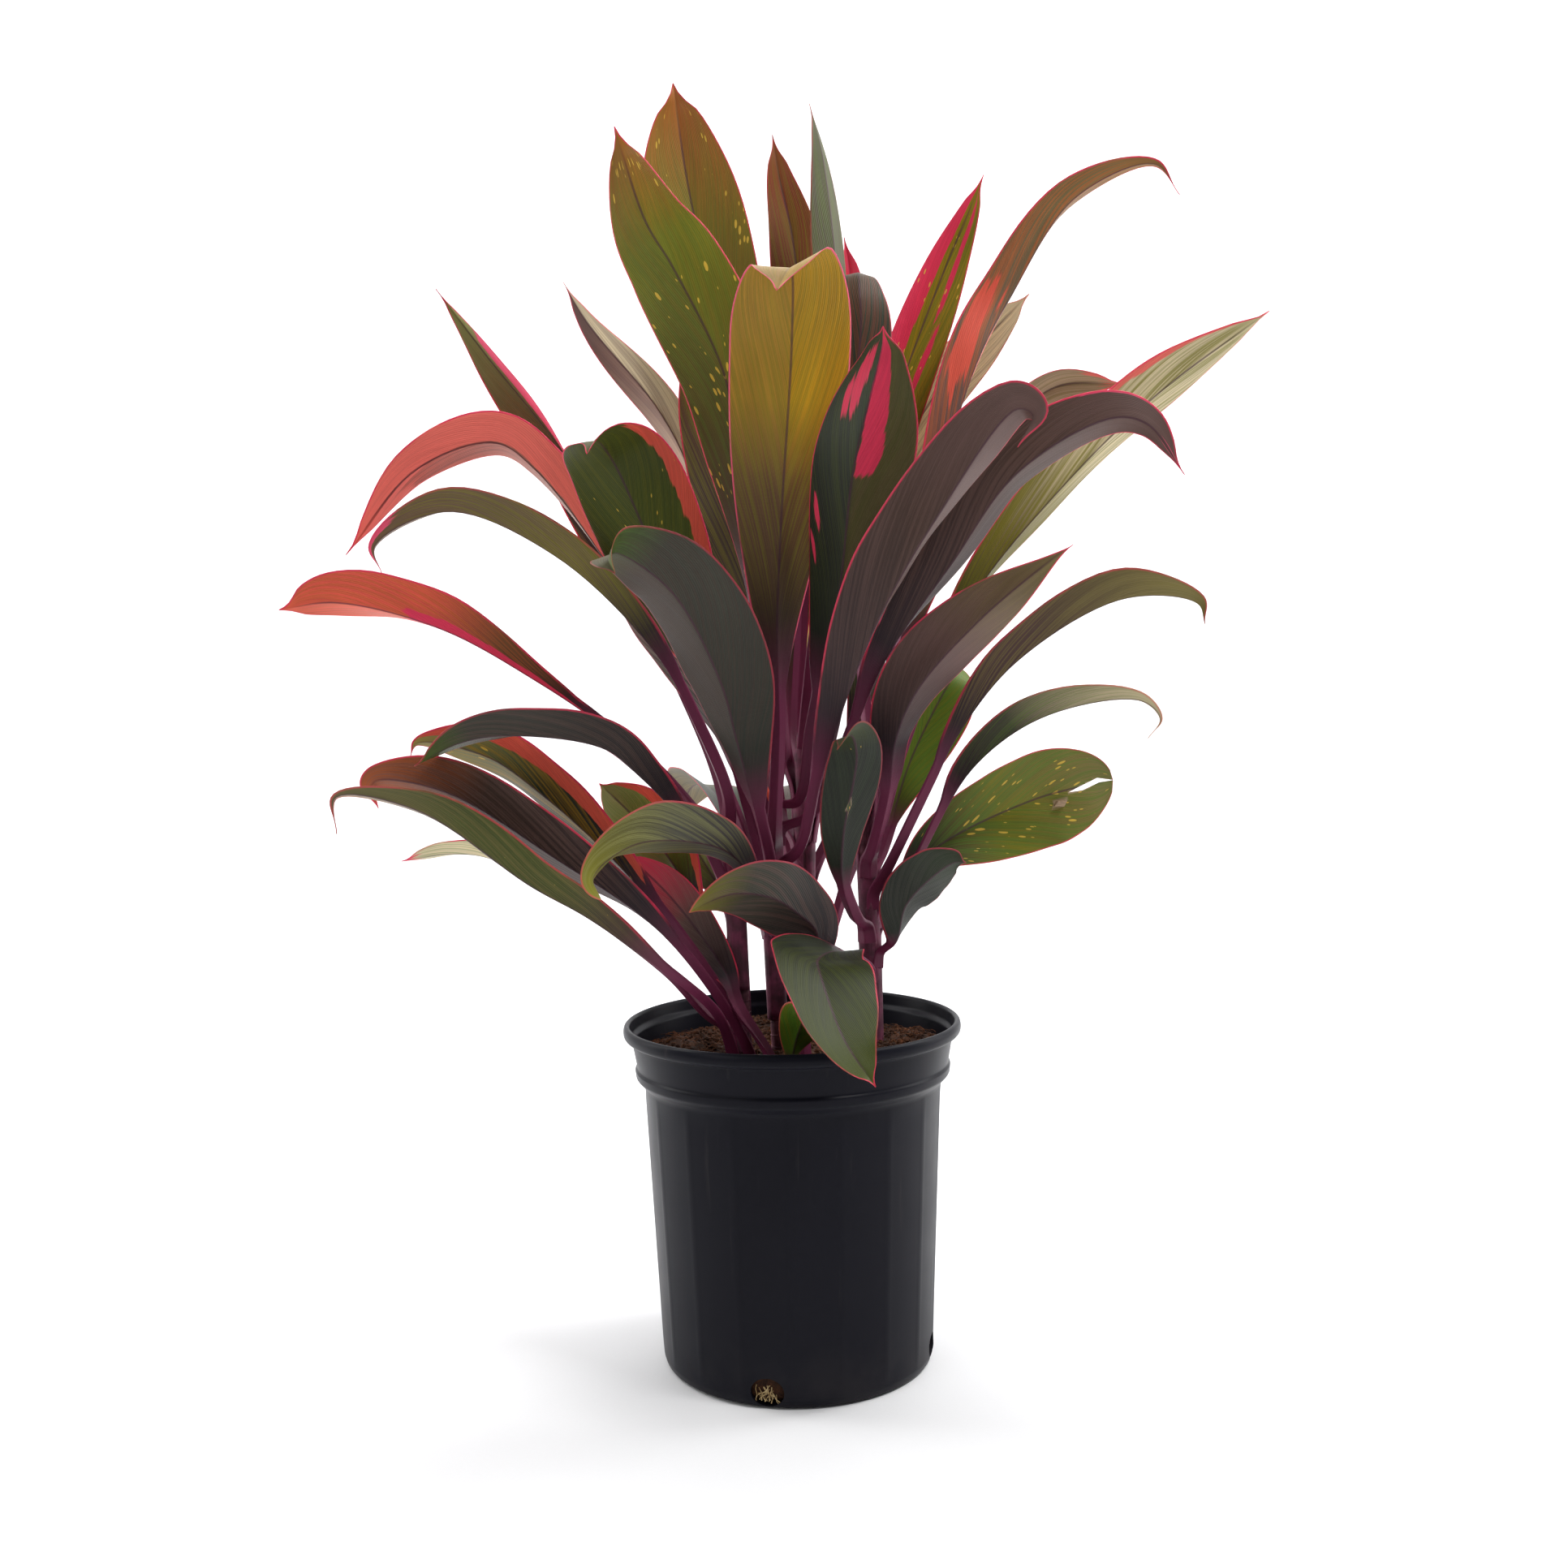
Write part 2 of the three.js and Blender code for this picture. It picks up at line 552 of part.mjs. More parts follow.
// Cane: a slim trunk with low rings where old leaves fell, closing to a blunt bud
function caneGeometry(cane) {
  const length = cane.tip[2] - cane.foot[2];
  const profile = [[0, 0], [CANE_RADIUS, 0]];
  for (let z = NODE_RING_STEP; z < length - NODE_RING_STEP; z += NODE_RING_STEP) {
    profile.push([CANE_RADIUS - 0.7, z - 3], [CANE_RADIUS, z]);
  }
  profile.push([CANE_RADIUS - 1, length - 12], [2, length - 1], [0, length]);
  const geometry = turned(profile, CANE_SIDES);
  const position = geometry.attributes.position;
  for (let i = 0; i < position.count; i += 1) {
    const centre = canePoint(cane, cane.foot[2] + position.getZ(i));
    position.setXYZ(i, position.getX(i) + centre.x, position.getY(i) + centre.y, centre.z);
  }
  return geometry;
}

// The line of a leaf's midrib: it clasps its cane, or stands in the soil, and then runs free
function midrib(leaf) {
  const points = leaf.midrib.map((point) => new THREE.Vector3(...point));
  if (leaf.stand) {
    const [x, y] = leaf.stand;
    const bottom = SOIL_TOP - LEAF_HOLE_DEPTH + SEAT_GAP;
    points.unshift(new THREE.Vector3(x, y, bottom), new THREE.Vector3(x, y, SOIL_TOP + 3));
  } else {
    const cane = CANES[leaf.cane];
    const turn = radians(leaf.turn);
    const out = new THREE.Vector3(Math.cos(turn), Math.sin(turn), 0);
    const clasp = CANE_RADIUS + CLASP_GAP;
    points.unshift(
      canePoint(cane, leaf.height).addScaledVector(out, clasp),
      canePoint(cane, leaf.height + CLASP_LENGTH).addScaledVector(out, clasp + CLASP_LEAN),
    );
  }
  return new THREE.CatmullRomCurve3(points, false, 'centripetal');
}

// Half the width of the leaf at a share of its length
function halfWidth(leaf, share) {
  const sheath = lerp(SHEATH_HALF_WIDTH, PETIOLE_HALF_WIDTH, smooth(share, 0, SHEATH_SHARE));
  const along = (share - leaf.petiole) / (1 - leaf.petiole);
  if (along <= 0) return sheath;
  const widest = leaf.widest ?? WIDEST_SHARE;
  const outline = along < widest
    ? Math.sin((Math.PI / 2) * (along / widest)) ** BASE_TAPER
    : Math.cos((Math.PI / 2) * ((along - widest) / (1 - widest))) ** (leaf.tail ?? 1);
  const blade = (leaf.width / 2) * outline;
  const stalk = sheath * (1 - smooth(along, 0.5, 1));
  return Math.max(blade, stalk, TIP_HALF_WIDTH);
}

// Leaf: one closed blade with its stalk, a grid of points on top and a like grid below
function leafGeometry(leaf, index) {
  const curve = midrib(leaf);
  const centres = [];
  for (let i = 0; i <= STATIONS; i += 1) centres.push(curve.getPoint(i / STATIONS));
  const reach = [0];
  for (let i = 1; i <= STATIONS; i += 1) {
    reach.push(reach[i - 1] + centres[i].distanceTo(centres[i - 1]));
  }
  const middle = centres[Math.floor(STATIONS / 2)];
  const turn = leaf.stand
    ? Math.atan2(middle.y - centres[0].y, middle.x - centres[0].x)
    : radians(leaf.turn);
  const side = new THREE.Vector3(-Math.sin(turn), Math.cos(turn), 0);
  const top = [];
  const bottom = [];
  for (let i = 0; i <= STATIONS; i += 1) {
    const share = reach[i] / reach[STATIONS];
    const tangent = curve.getTangent(i / STATIONS);
    side.addScaledVector(tangent, -side.dot(tangent)).normalize();
    const bladeShare = THREE.MathUtils.clamp((share - leaf.petiole) / (1 - leaf.petiole), 0, 1);
    const roll = radians(leaf.roll * smooth(share, 0.05, 0.6) + (leaf.twist ?? 0) * bladeShare ** 2);
    const across = side.clone().applyAxisAngle(tangent, roll);
    const up = new THREE.Vector3().crossVectors(tangent, across);
    const half = halfWidth(leaf, share);
    const depth = lerp(CHANNEL_DEPTH, BLADE_DEPTH, smooth(share, 0.1, leaf.petiole + 0.2));
    const thick = lerp(PETIOLE_THICKNESS, BLADE_THICKNESS, smooth(share, 0.2, leaf.petiole + 0.3));
    for (const v of ACROSS) {
      const wave = EDGE_WAVE * bladeShare * Math.sin(share * 19 + index * 2.1 + Math.sign(v) * 1.3);
      const rise = half * (depth * Math.abs(v) + wave * v * v);
      const point = centres[i].clone().addScaledVector(across, v * half).addScaledVector(up, rise);
      const depthBelow = Math.max(thick * (1 - 0.55 * Math.abs(v)), 0.8);
      top.push(point);
      bottom.push(point.clone().addScaledVector(up, -depthBelow));
    }
  }
  return shellGeometry(top, bottom, ACROSS.length);
}

// Joins a top and a bottom grid with `columns` points in each row into one closed body
function shellGeometry(top, bottom, columns) {
  const rows = top.length / columns;
  const below = top.length;
  const faces = [];
  const quad = (a, b, c, d) => faces.push(a, c, b, a, d, c);
  for (let row = 0; row < rows - 1; row += 1) {
    const start = row * columns;
    for (let column = 0; column < columns - 1; column += 1) {
      const a = start + column;
      const b = a + 1;
      const c = b + columns;
      const d = a + columns;
      quad(a, b, c, d);
      faces.push(below + a, below + b, below + c, below + a, below + c, below + d);
    }
    const last = start + columns - 1;
    quad(start + columns, below + start + columns, below + start, start);
    quad(last, below + last, below + last + columns, last + columns);
  }
  const end = (rows - 1) * columns;
  for (let column = 0; column < columns - 1; column += 1) {
    quad(column + 1, column, below + column, below + column + 1);
    quad(end + column, end + column + 1, below + end + column + 1, below + end + column);
  }
  const geometry = new THREE.BufferGeometry();
  const values = [...top, ...bottom].flatMap((point) => [point.x, point.y, point.z]);
  geometry.setAttribute('position', new THREE.Float32BufferAttribute(values, 3));
  geometry.setIndex(faces);
  return geometry;
}

const group = new THREE.Group();

function add(name, geometry, look) {
  const mesh = new THREE.Mesh(geometry, look);
  mesh.name = name;
  group.add(mesh);
}

const stands = LEAVES.filter((leaf) => leaf.stand).map((leaf) => leaf.stand);
add('pot', potGeometry(), material(0x1c1c22, 0.5));
add('soil', soilGeometry(stands), material(0x3a2418, 0.95));
for (const [name, cane] of Object.entries(CANES)) {
  add(`${name}_cane`, caneGeometry(cane), material(0x7a5148, 0.7));
}
LEAVES.forEach((leaf, index) => {
  add(leaf.name, leafGeometry(leaf, index), material(LEAF_COLOURS[leaf.look], 0.55));
});

export default group;
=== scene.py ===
"""A ti plant with rainbow leaves in a nursery pot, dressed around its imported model.

The plan of the plant repeats the model's own: the pot's profile, the mounds of the soil, the
canes and each leaf's midrib. The model's sizes are in millimetres and Blender's in metres.
"""
import math
from dataclasses import dataclass, field

import bmesh
import bpy
import numpy as np
from bpy.props import FloatProperty, FloatVectorProperty, IntProperty, PointerProperty
from mathutils import Matrix, Vector
from mathutils.kdtree import KDTree


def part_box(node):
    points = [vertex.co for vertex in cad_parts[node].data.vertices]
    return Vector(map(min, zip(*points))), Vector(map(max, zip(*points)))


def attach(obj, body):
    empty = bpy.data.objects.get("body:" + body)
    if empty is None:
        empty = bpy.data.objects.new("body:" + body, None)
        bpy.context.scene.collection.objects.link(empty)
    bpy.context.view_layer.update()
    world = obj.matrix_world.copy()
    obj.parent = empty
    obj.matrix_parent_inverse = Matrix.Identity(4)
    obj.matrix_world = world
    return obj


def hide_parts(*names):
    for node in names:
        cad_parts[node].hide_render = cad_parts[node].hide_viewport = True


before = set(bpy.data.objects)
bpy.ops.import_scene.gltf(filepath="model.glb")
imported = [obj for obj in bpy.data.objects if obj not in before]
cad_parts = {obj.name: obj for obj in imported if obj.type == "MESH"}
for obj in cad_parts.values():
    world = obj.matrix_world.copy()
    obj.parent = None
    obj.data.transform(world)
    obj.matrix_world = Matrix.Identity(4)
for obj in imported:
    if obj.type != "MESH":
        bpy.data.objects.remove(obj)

bl_info = {
    "name": "Potted Ti Plant",
    "version": (1, 0, 0),
    "blender": (4, 5, 0),
    "location": "View3D > Sidebar > Ti Plant",
    "description": "Dresses a ti plant with rainbow leaves in a round nursery pot",
    "category": "Add Mesh",
}

MM = 0.001
POT_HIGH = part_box("pot")[1]


def shade(code):
    """A hex colour as the linear red, green and blue that Blender mixes."""
    parts = [((code >> shift) & 255) / 255 for shift in (16, 8, 0)]
    return tuple(p / 12.92 if p < 0.04045 else ((p + 0.055) / 1.055) ** 2.4 for p in parts)


# Plan of the pot, in millimetres
POT_HEIGHT = POT_HIGH.z / MM
RIM_RADIUS = POT_HIGH.x / MM
COLLAR_RADIUS = 124
COLLAR_BOTTOM = 225
BODY_TOP_RADIUS = 115
BODY_TOP = 215
BASE_RADIUS = 105.5
FOOT_CURVE = 7
BODY_SLOPE = (BODY_TOP_RADIUS - BASE_RADIUS) / (BODY_TOP - FOOT_CURVE)
WALL = 2.6
FLOOR = 4.5
DRAIN_COUNT = 4
DRAIN_FIRST_TURN = -103
DRAIN_WIDTH = 25
DRAIN_RISE = 21
DRAIN_MIDDLE = 12.5
SHARP_FROM = 40
AXIS_GAP = 0.4

# Plan of the soil and the canes
SOIL_TOP = 240
SOIL_GAP = 0.4
SOIL_SIDES = 150
SOIL_RINGS = 60
RELIEF_SEED = 4
CLOD_WAVES = 14
SEAT_GAP = 0.35
CANE_FOOT = 220.35
CANE_RADIUS = 6.5
CANE_SIDES = 24
CANE_ROWS = 90
CANE_TIP = 14
BARK_RADIUS = CANE_RADIUS - 0.5
SCAR_SPACING = 9
SHEATH_RUN = 62
SHEATH_WRAP = 105
SHEATH_ROWS = 18
SHEATH_COLUMNS = 19
ROOT_SEED = 21
ROOT_COUNT = 17
CANES = {
    "left": ((-36, -14, CANE_FOOT), (-43, -15, 412)),
    "middle": ((-10, -8, CANE_FOOT), (-13, -7, 454)),
    "right": ((64, 2, CANE_FOOT), (59, 5, 442)),
    "back": ((12, 48, CANE_FOOT), (14, 53, 492)),
}

# Mounds of the soil: x, y, height and how wide they spread
MOUNDS = [(-82, -8, 9, 900), (92, 10, 7, 1100), (-25, 88, 5, 900)]

# Plan of a leaf
CLASP_GAP = 1
CLASP_LENGTH = 12
CLASP_LEAN = 2
LEAF_HOLE_DEPTH = 12
SHEATH_HALF_WIDTH = 6
PETIOLE_HALF_WIDTH = 4.2
SHEATH_SHARE = 0.14
PETIOLE_THICKNESS = 3.4
CHANNEL_DEPTH = 0.5
BLADE_DEPTH = 0.26
EDGE_WAVE = 0.055
BLADE_RUNS_DOWN = 0.1
PETIOLE_SWELL = 1.25
TIP_HALF_WIDTH = 0.3
DRIP_FROM = 0.93
DRIP_TO = 0.985
RIPPLE = 0.02
RIM_THINNING = 0.35
GROOVE_DEPTH = 0.5
GROOVE_REACH = 1.3
KEEL_DEPTH = 1.1
KEEL_REACH = 1.6
MODEL_STATIONS = 13
VEIN_LEAN = 1.9

# Colours of the leaves, from their stalks to the brightest streaks
PIGMENTS = {name: shade(code) for name, code in {
    "wine": 0x6E2646, "plum": 0x2A1D24, "ink": 0x20241A, "pine": 0x2E3824, "slate": 0x444238,
    "umber": 0x463229, "mauve": 0x6A504A, "bronze": 0x6A4828, "moss": 0x485018,
    "olive": 0x7E7A1A, "leaf": 0x587A24, "khaki": 0x7C6E3E, "sage": 0x98985A, "ochre": 0xC0921A,
    "tan": 0xB89C80, "cream": 0xDCCCA4, "ember": 0x94402C, "rust": 0xC46430, "coral": 0xE45A46,
    "salmon": 0xF27468, "rose": 0xE6385A, "pink": 0xF0587A, "ash": 0x927E70,
}.items()}


@dataclass
class Coat:
    """Colours of a leaf from the foot of its blade to its tip, and its streaks.

    The middle colour and the tip's are reached at shares of the blade. Minus and plus tint one
    half of the blade, and stripe tints lines along the veins: each is a colour and how strong it
    is. Trim is how strong the colour of the margin is. A band is (from, to) across the blade,
    (from, to) along it, and how full of streaks it is. Dull is how grey the side turned away from
    the front is.
    """

    # The dark base colours are partly the leaf's own and partly painted shade of the crowded heart, and the
    # golden tip colours are partly painted glow of light shining through the leaves
    base: str
    middle: str
    tip: str
    stalk: str = "wine"
    middle_at: float = 0.5
    end: float = 0.9
    minus: tuple = ("ash", 0)
    plus: tuple = ("ash", 0)
    stripe: tuple = ("ash", 0.15)
    trim: float = 0.6
    trim_colour: str = "rose"
    streak: str = "rose"
    bands: list = field(default_factory=list)
    flecks: float = 0
    dull: float = 0.26


@dataclass
class Leaf:
    """One leaf. It leaves its cane at a height, turned round it, or stands in the soil at (x, y).

    Its kind is the paint slot it shares with leaves like it. Petiole is a share of the leaf, and
    widest is a share of the blade. Roll, twist and fold are angles. Tail, drip and waist shape the
    blade's outline, and wave is how much its edges swing.
    """

    kind: str
    width: float
    petiole: float
    roll: float
    midrib: list
    coat: Coat
    name: str = ""
    height: float = 0
    turn: float = 0
    stand: tuple = None
    widest: float = 0.6
    tail: float = 1
    twist: float = 0
    fold: float = 0
    wave: float = 1
    drip: float = 0.55
    waist: float = 1.2


# Leaves of each cane from the lowest up, in millimetres and degrees, with their midrib points
# The coats' near-black bases are partly painted shade of the heart, and their golden tips are partly
# painted glow of backlit leaves
LEFT_LEAVES = [
    # Low pale blade, flat at its end
    Leaf("pale", height=244, turn=172, width=50, petiole=0.34, roll=30,
        midrib=[(-65, -15, 270), (-95, -20, 305), (-175, -20, 365), (-225, -20, 395), (-255, -20, 400),
            (-295, -20, 395)],
        coat=Coat("moss", "sage", "cream", end=0.6, stripe=("leaf", 0.5), trim=1,
            bands=[(-1, 1, 0.93, 1.1, 0.9)])),
    # Blade with gold flecks and a hooked tip
    Leaf("golden", height=262, turn=-150, width=52, petiole=0.36, roll=30, tail=1.4, fold=14, wave=1.5,
        midrib=[(-110, -50, 375), (-185, -60, 450), (-220, -65, 475), (-270, -65, 485), (-275, -65, 475)],
        coat=Coat("plum", "pine", "sage", end=0.95, stripe=("ochre", 0.45), flecks=0.7, streak="coral",
            bands=[(0.5, 1.2, 0.05, 0.9, 0.95)], trim=1)),
    # Short olive blade with a red edge
    Leaf("green", height=306, turn=168, width=54, petiole=0.3, roll=85,
        midrib=[(-55, -10, 330), (-95, 0, 395), (-120, 0, 425), (-145, 0, 450)],
        coat=Coat("plum", "olive", "sage", stripe=("leaf", 0.4), streak="coral",
            bands=[(0.7, 1.2, 0, 1.2, 0.9)], trim=1)),
    # Short pale blade, mostly hidden
    Leaf("pale", height=324, turn=112, width=40, petiole=0.3, roll=-50,
        midrib=[(-50, 15, 355), (-85, 40, 410), (-105, 50, 430)],
        coat=Coat("plum", "sage", "cream", stripe=("leaf", 0.4))),
    # Broad grey blade that arches low to the left
    Leaf("dark", height=352, turn=-120, width=50, petiole=0.3, roll=-5, widest=0.55, fold=15, wave=1.2,
        midrib=[(-50, -35, 375), (-65, -50, 410), (-105, -90, 460), (-130, -100, 480), (-195, -110, 490),
            (-230, -110, 485), (-260, -115, 470)],
        coat=Coat("plum", "slate", "leaf", middle_at=0.8, end=1, stripe=("mauve", 0.3),
            bands=[(-1.2, -0.75, 0.1, 0.6, 0.85)], trim=0.7)),
    # Thin upright blade with a wavy pink edge
    Leaf("pink", height=364, turn=98, width=46, petiole=0.36, roll=-65, twist=30, widest=0.5, tail=1.4,
        fold=30, wave=2.5,
        midrib=[(-45, 10, 405), (-55, 30, 455), (-80, 45, 520), (-145, 60, 655), (-175, 65, 715),
            (-235, 70, 795), (-275, 70, 850)],
        coat=Coat("plum", "slate", "sage", stripe=("khaki", 0.4), streak="pink",
            bands=[(-1.2, -0.3, 0.1, 0.85, 0.95)], trim=1)),
    # Long pink blade that opens to an orange end
    Leaf("pink", height=378, turn=176, width=56, petiole=0.38, roll=50, twist=15, widest=0.72, fold=28,
        wave=2, waist=2,
        midrib=[(-50, -15, 395), (-95, -20, 460), (-135, -25, 495), (-185, -35, 530), (-255, -45, 570),
            (-330, -50, 590), (-370, -55, 585)],
        coat=Coat("plum", "bronze", "coral", middle_at=0.35, end=0.62, stripe=("rust", 0.45),
            bands=[(-0.3, 0.3, 0.04, 0.62, 0.9), (-1.2, -0.6, 0.25, 0.5, 0.9)], trim=0.9)),
    # Long olive arch with a hanging tip
    Leaf("green", height=397, turn=-118, width=46, petiole=0.34, roll=-35, widest=0.5, tail=1.3, fold=30,
        wave=1.2,
        midrib=[(-45, -45, 440), (-65, -55, 495), (-90, -60, 545), (-165, -50, 620), (-245, -50, 655),
            (-300, -50, 630), (-295, -50, 610)],
        coat=Coat("plum", "khaki", "mauve", middle_at=0.35, stripe=("olive", 0.5), streak="pink",
            bands=[(0.5, 1.2, 0.85, 1.1, 0.8)], trim=0.4)),
]

MIDDLE_LEAVES = [
    # Pink arch on the far left
    Leaf("pink", height=327, turn=160, width=48, petiole=0.36, roll=65, twist=15, widest=0.55, tail=1.2,
        fold=28, wave=1.5,
        midrib=[(-25, -5, 380), (-65, 5, 490), (-125, 10, 605), (-190, 10, 695), (-220, 10, 715),
            (-280, 5, 695), (-335, 0, 630)],
        coat=Coat("plum", "ash", "coral", middle_at=0.35, stripe=("umber", 0.35), streak="salmon",
            bands=[(0.05, 1.2, 0.1, 1.1, 0.95), (-1.2, 0, 0.75, 1.1, 0.6)], trim=1)),
    # Front blade that curls over like a hook
    Leaf("dark", height=330, turn=-100, width=54, petiole=0.28, roll=30, tail=0.8, fold=14, wave=1.2,
        drip=0,
        midrib=[(-20, -40, 360), (-35, -80, 395), (-55, -110, 410), (-105, -160, 415), (-130, -175, 395),
            (-125, -175, 380)],
        coat=Coat("plum", "slate", "olive", middle_at=0.55, end=0.95, stripe=("sage", 0.3), trim=0.5)),
    # Dark front blade with a rolled tip
    Leaf("dark", height=356, turn=-124, width=80, petiole=0.3, roll=15, widest=0.56, tail=0.8, fold=12,
        wave=1.2,
        midrib=[(-15, -35, 390), (-35, -90, 485), (-45, -110, 525), (-75, -140, 585), (-110, -160, 610),
            (-115, -170, 605), (-110, -175, 595)],
        coat=Coat("ink", "slate", "leaf", middle_at=0.8, end=1, minus=("umber", 0.5), stripe=("umber", 0.4),
            trim=0.4)),
    # Folded blade that bends over to the right
    Leaf("dark", height=370, turn=-52, width=70, petiole=0.28, roll=-5, twist=-20, widest=0.55, tail=0.9,
        fold=35, wave=1.5,
        midrib=[(10, -40, 400), (25, -70, 460), (60, -135, 555), (100, -180, 625), (150, -205, 690),
            (160, -210, 685), (150, -210, 665)],
        coat=Coat("plum", "umber", "mauve", middle_at=0.6, plus=("mauve", 0.6), stripe=("mauve", 0.3),
            trim=0.8)),
    # Grey brown blade behind the dark one
    Leaf("dark", height=374, turn=-172, width=58, petiole=0.34, roll=70, fold=20, wave=1,
        midrib=[(-25, -15, 405), (-55, -20, 505), (-100, -20, 580), (-130, -25, 620)],
        coat=Coat("plum", "umber", "mauve", stripe=("ash", 0.35), trim=0.5)),
    # Tall golden blade that faces the front and nods
    Leaf("golden", height=386, turn=-80, width=86, petiole=0.34, roll=-5, widest=0.72, tail=0.8,
        midrib=[(-10, -35, 410), (-5, -60, 490), (-5, -70, 560), (0, -85, 640), (10, -105, 760),
            (10, -140, 800), (0, -160, 780)],
        coat=Coat("umber", "bronze", "ochre", middle_at=0.42, end=0.6, minus=("mauve", 0.25),
            stripe=("olive", 0.4), flecks=0.15, trim=1, trim_colour="pink")),
    # Broad brown blade with a hanging tip
    Leaf("dark", height=400, turn=-20, width=62, petiole=0.3, roll=-45, widest=0.5, tail=1.3, fold=30,
        wave=1.5,
        midrib=[(20, -20, 425), (70, -60, 535), (120, -90, 605), (165, -110, 665), (230, -115, 700),
            (255, -115, 695), (280, -115, 660)],
        coat=Coat("plum", "umber", "mauve", middle_at=0.6, stripe=("mauve", 0.4), streak="pink",
            bands=[(-1.2, -0.9, 0.1, 0.9, 0.6), (-1.2, 1.2, 0.9, 1.2, 0.4)], trim=0.9)),
    # Olive blade with one pink side and a bent tip
    Leaf("green", height=404, turn=-136, width=86, petiole=0.34, roll=35, widest=0.68, tail=0.8,
        midrib=[(-15, -25, 425), (-30, -35, 475), (-75, -45, 575), (-95, -55, 625), (-120, -70, 685),
            (-130, -100, 695), (-135, -105, 685)],
        coat=Coat("ink", "moss", "moss", middle_at=0.35, stripe=("olive", 0.18), flecks=0.5, streak="coral",
            bands=[(0.74, 1.2, -0.1, 0.9, 1), (-1.2, -0.92, 0.1, 0.5, 0.9)], trim=1)),
    # Brown blade behind the tall ones
    Leaf("golden", height=412, turn=92, width=70, petiole=0.34, roll=-5,
        midrib=[(-5, 20, 475), (-25, 45, 595), (-35, 50, 665), (-45, 55, 735), (-55, 55, 785),
            (-70, 55, 825)],
        coat=Coat("plum", "umber", "bronze", stripe=("olive", 0.35), trim=1)),
    # Dark blade with pink patches
    Leaf("dark", height=418, turn=-50, width=80, petiole=0.36, roll=-50, twist=-20, tail=0.9, fold=16,
        wave=1.4,
        midrib=[(10, -30, 435), (20, -50, 490), (40, -95, 585), (50, -130, 665), (65, -145, 725),
            (70, -150, 745), (70, -160, 755)],
        coat=Coat("ink", "ink", "pine", plus=("khaki", 0.45), stripe=("moss", 0.3), streak="rose",
            bands=[(-0.75, -0.2, 0.72, 0.93, 0.72), (0, 0.45, 0.58, 1, 0.85),
            (-0.95, -0.7, 0.28, 0.5, 0.55)], trim=0.9)),
    # Tall olive blade that leans to the left
    Leaf("golden", height=426, turn=180, width=76, petiole=0.32, roll=80,
        midrib=[(-15, -5, 460), (-20, -10, 540), (-30, -20, 690), (-40, -30, 755), (-75, -40, 830),
            (-95, -40, 865), (-115, -50, 930)],
        coat=Coat("umber", "olive", "rust", middle_at=0.76, end=1.05, minus=("moss", 0.15),
            stripe=("leaf", 0.25), flecks=1, trim=0.9)),
]

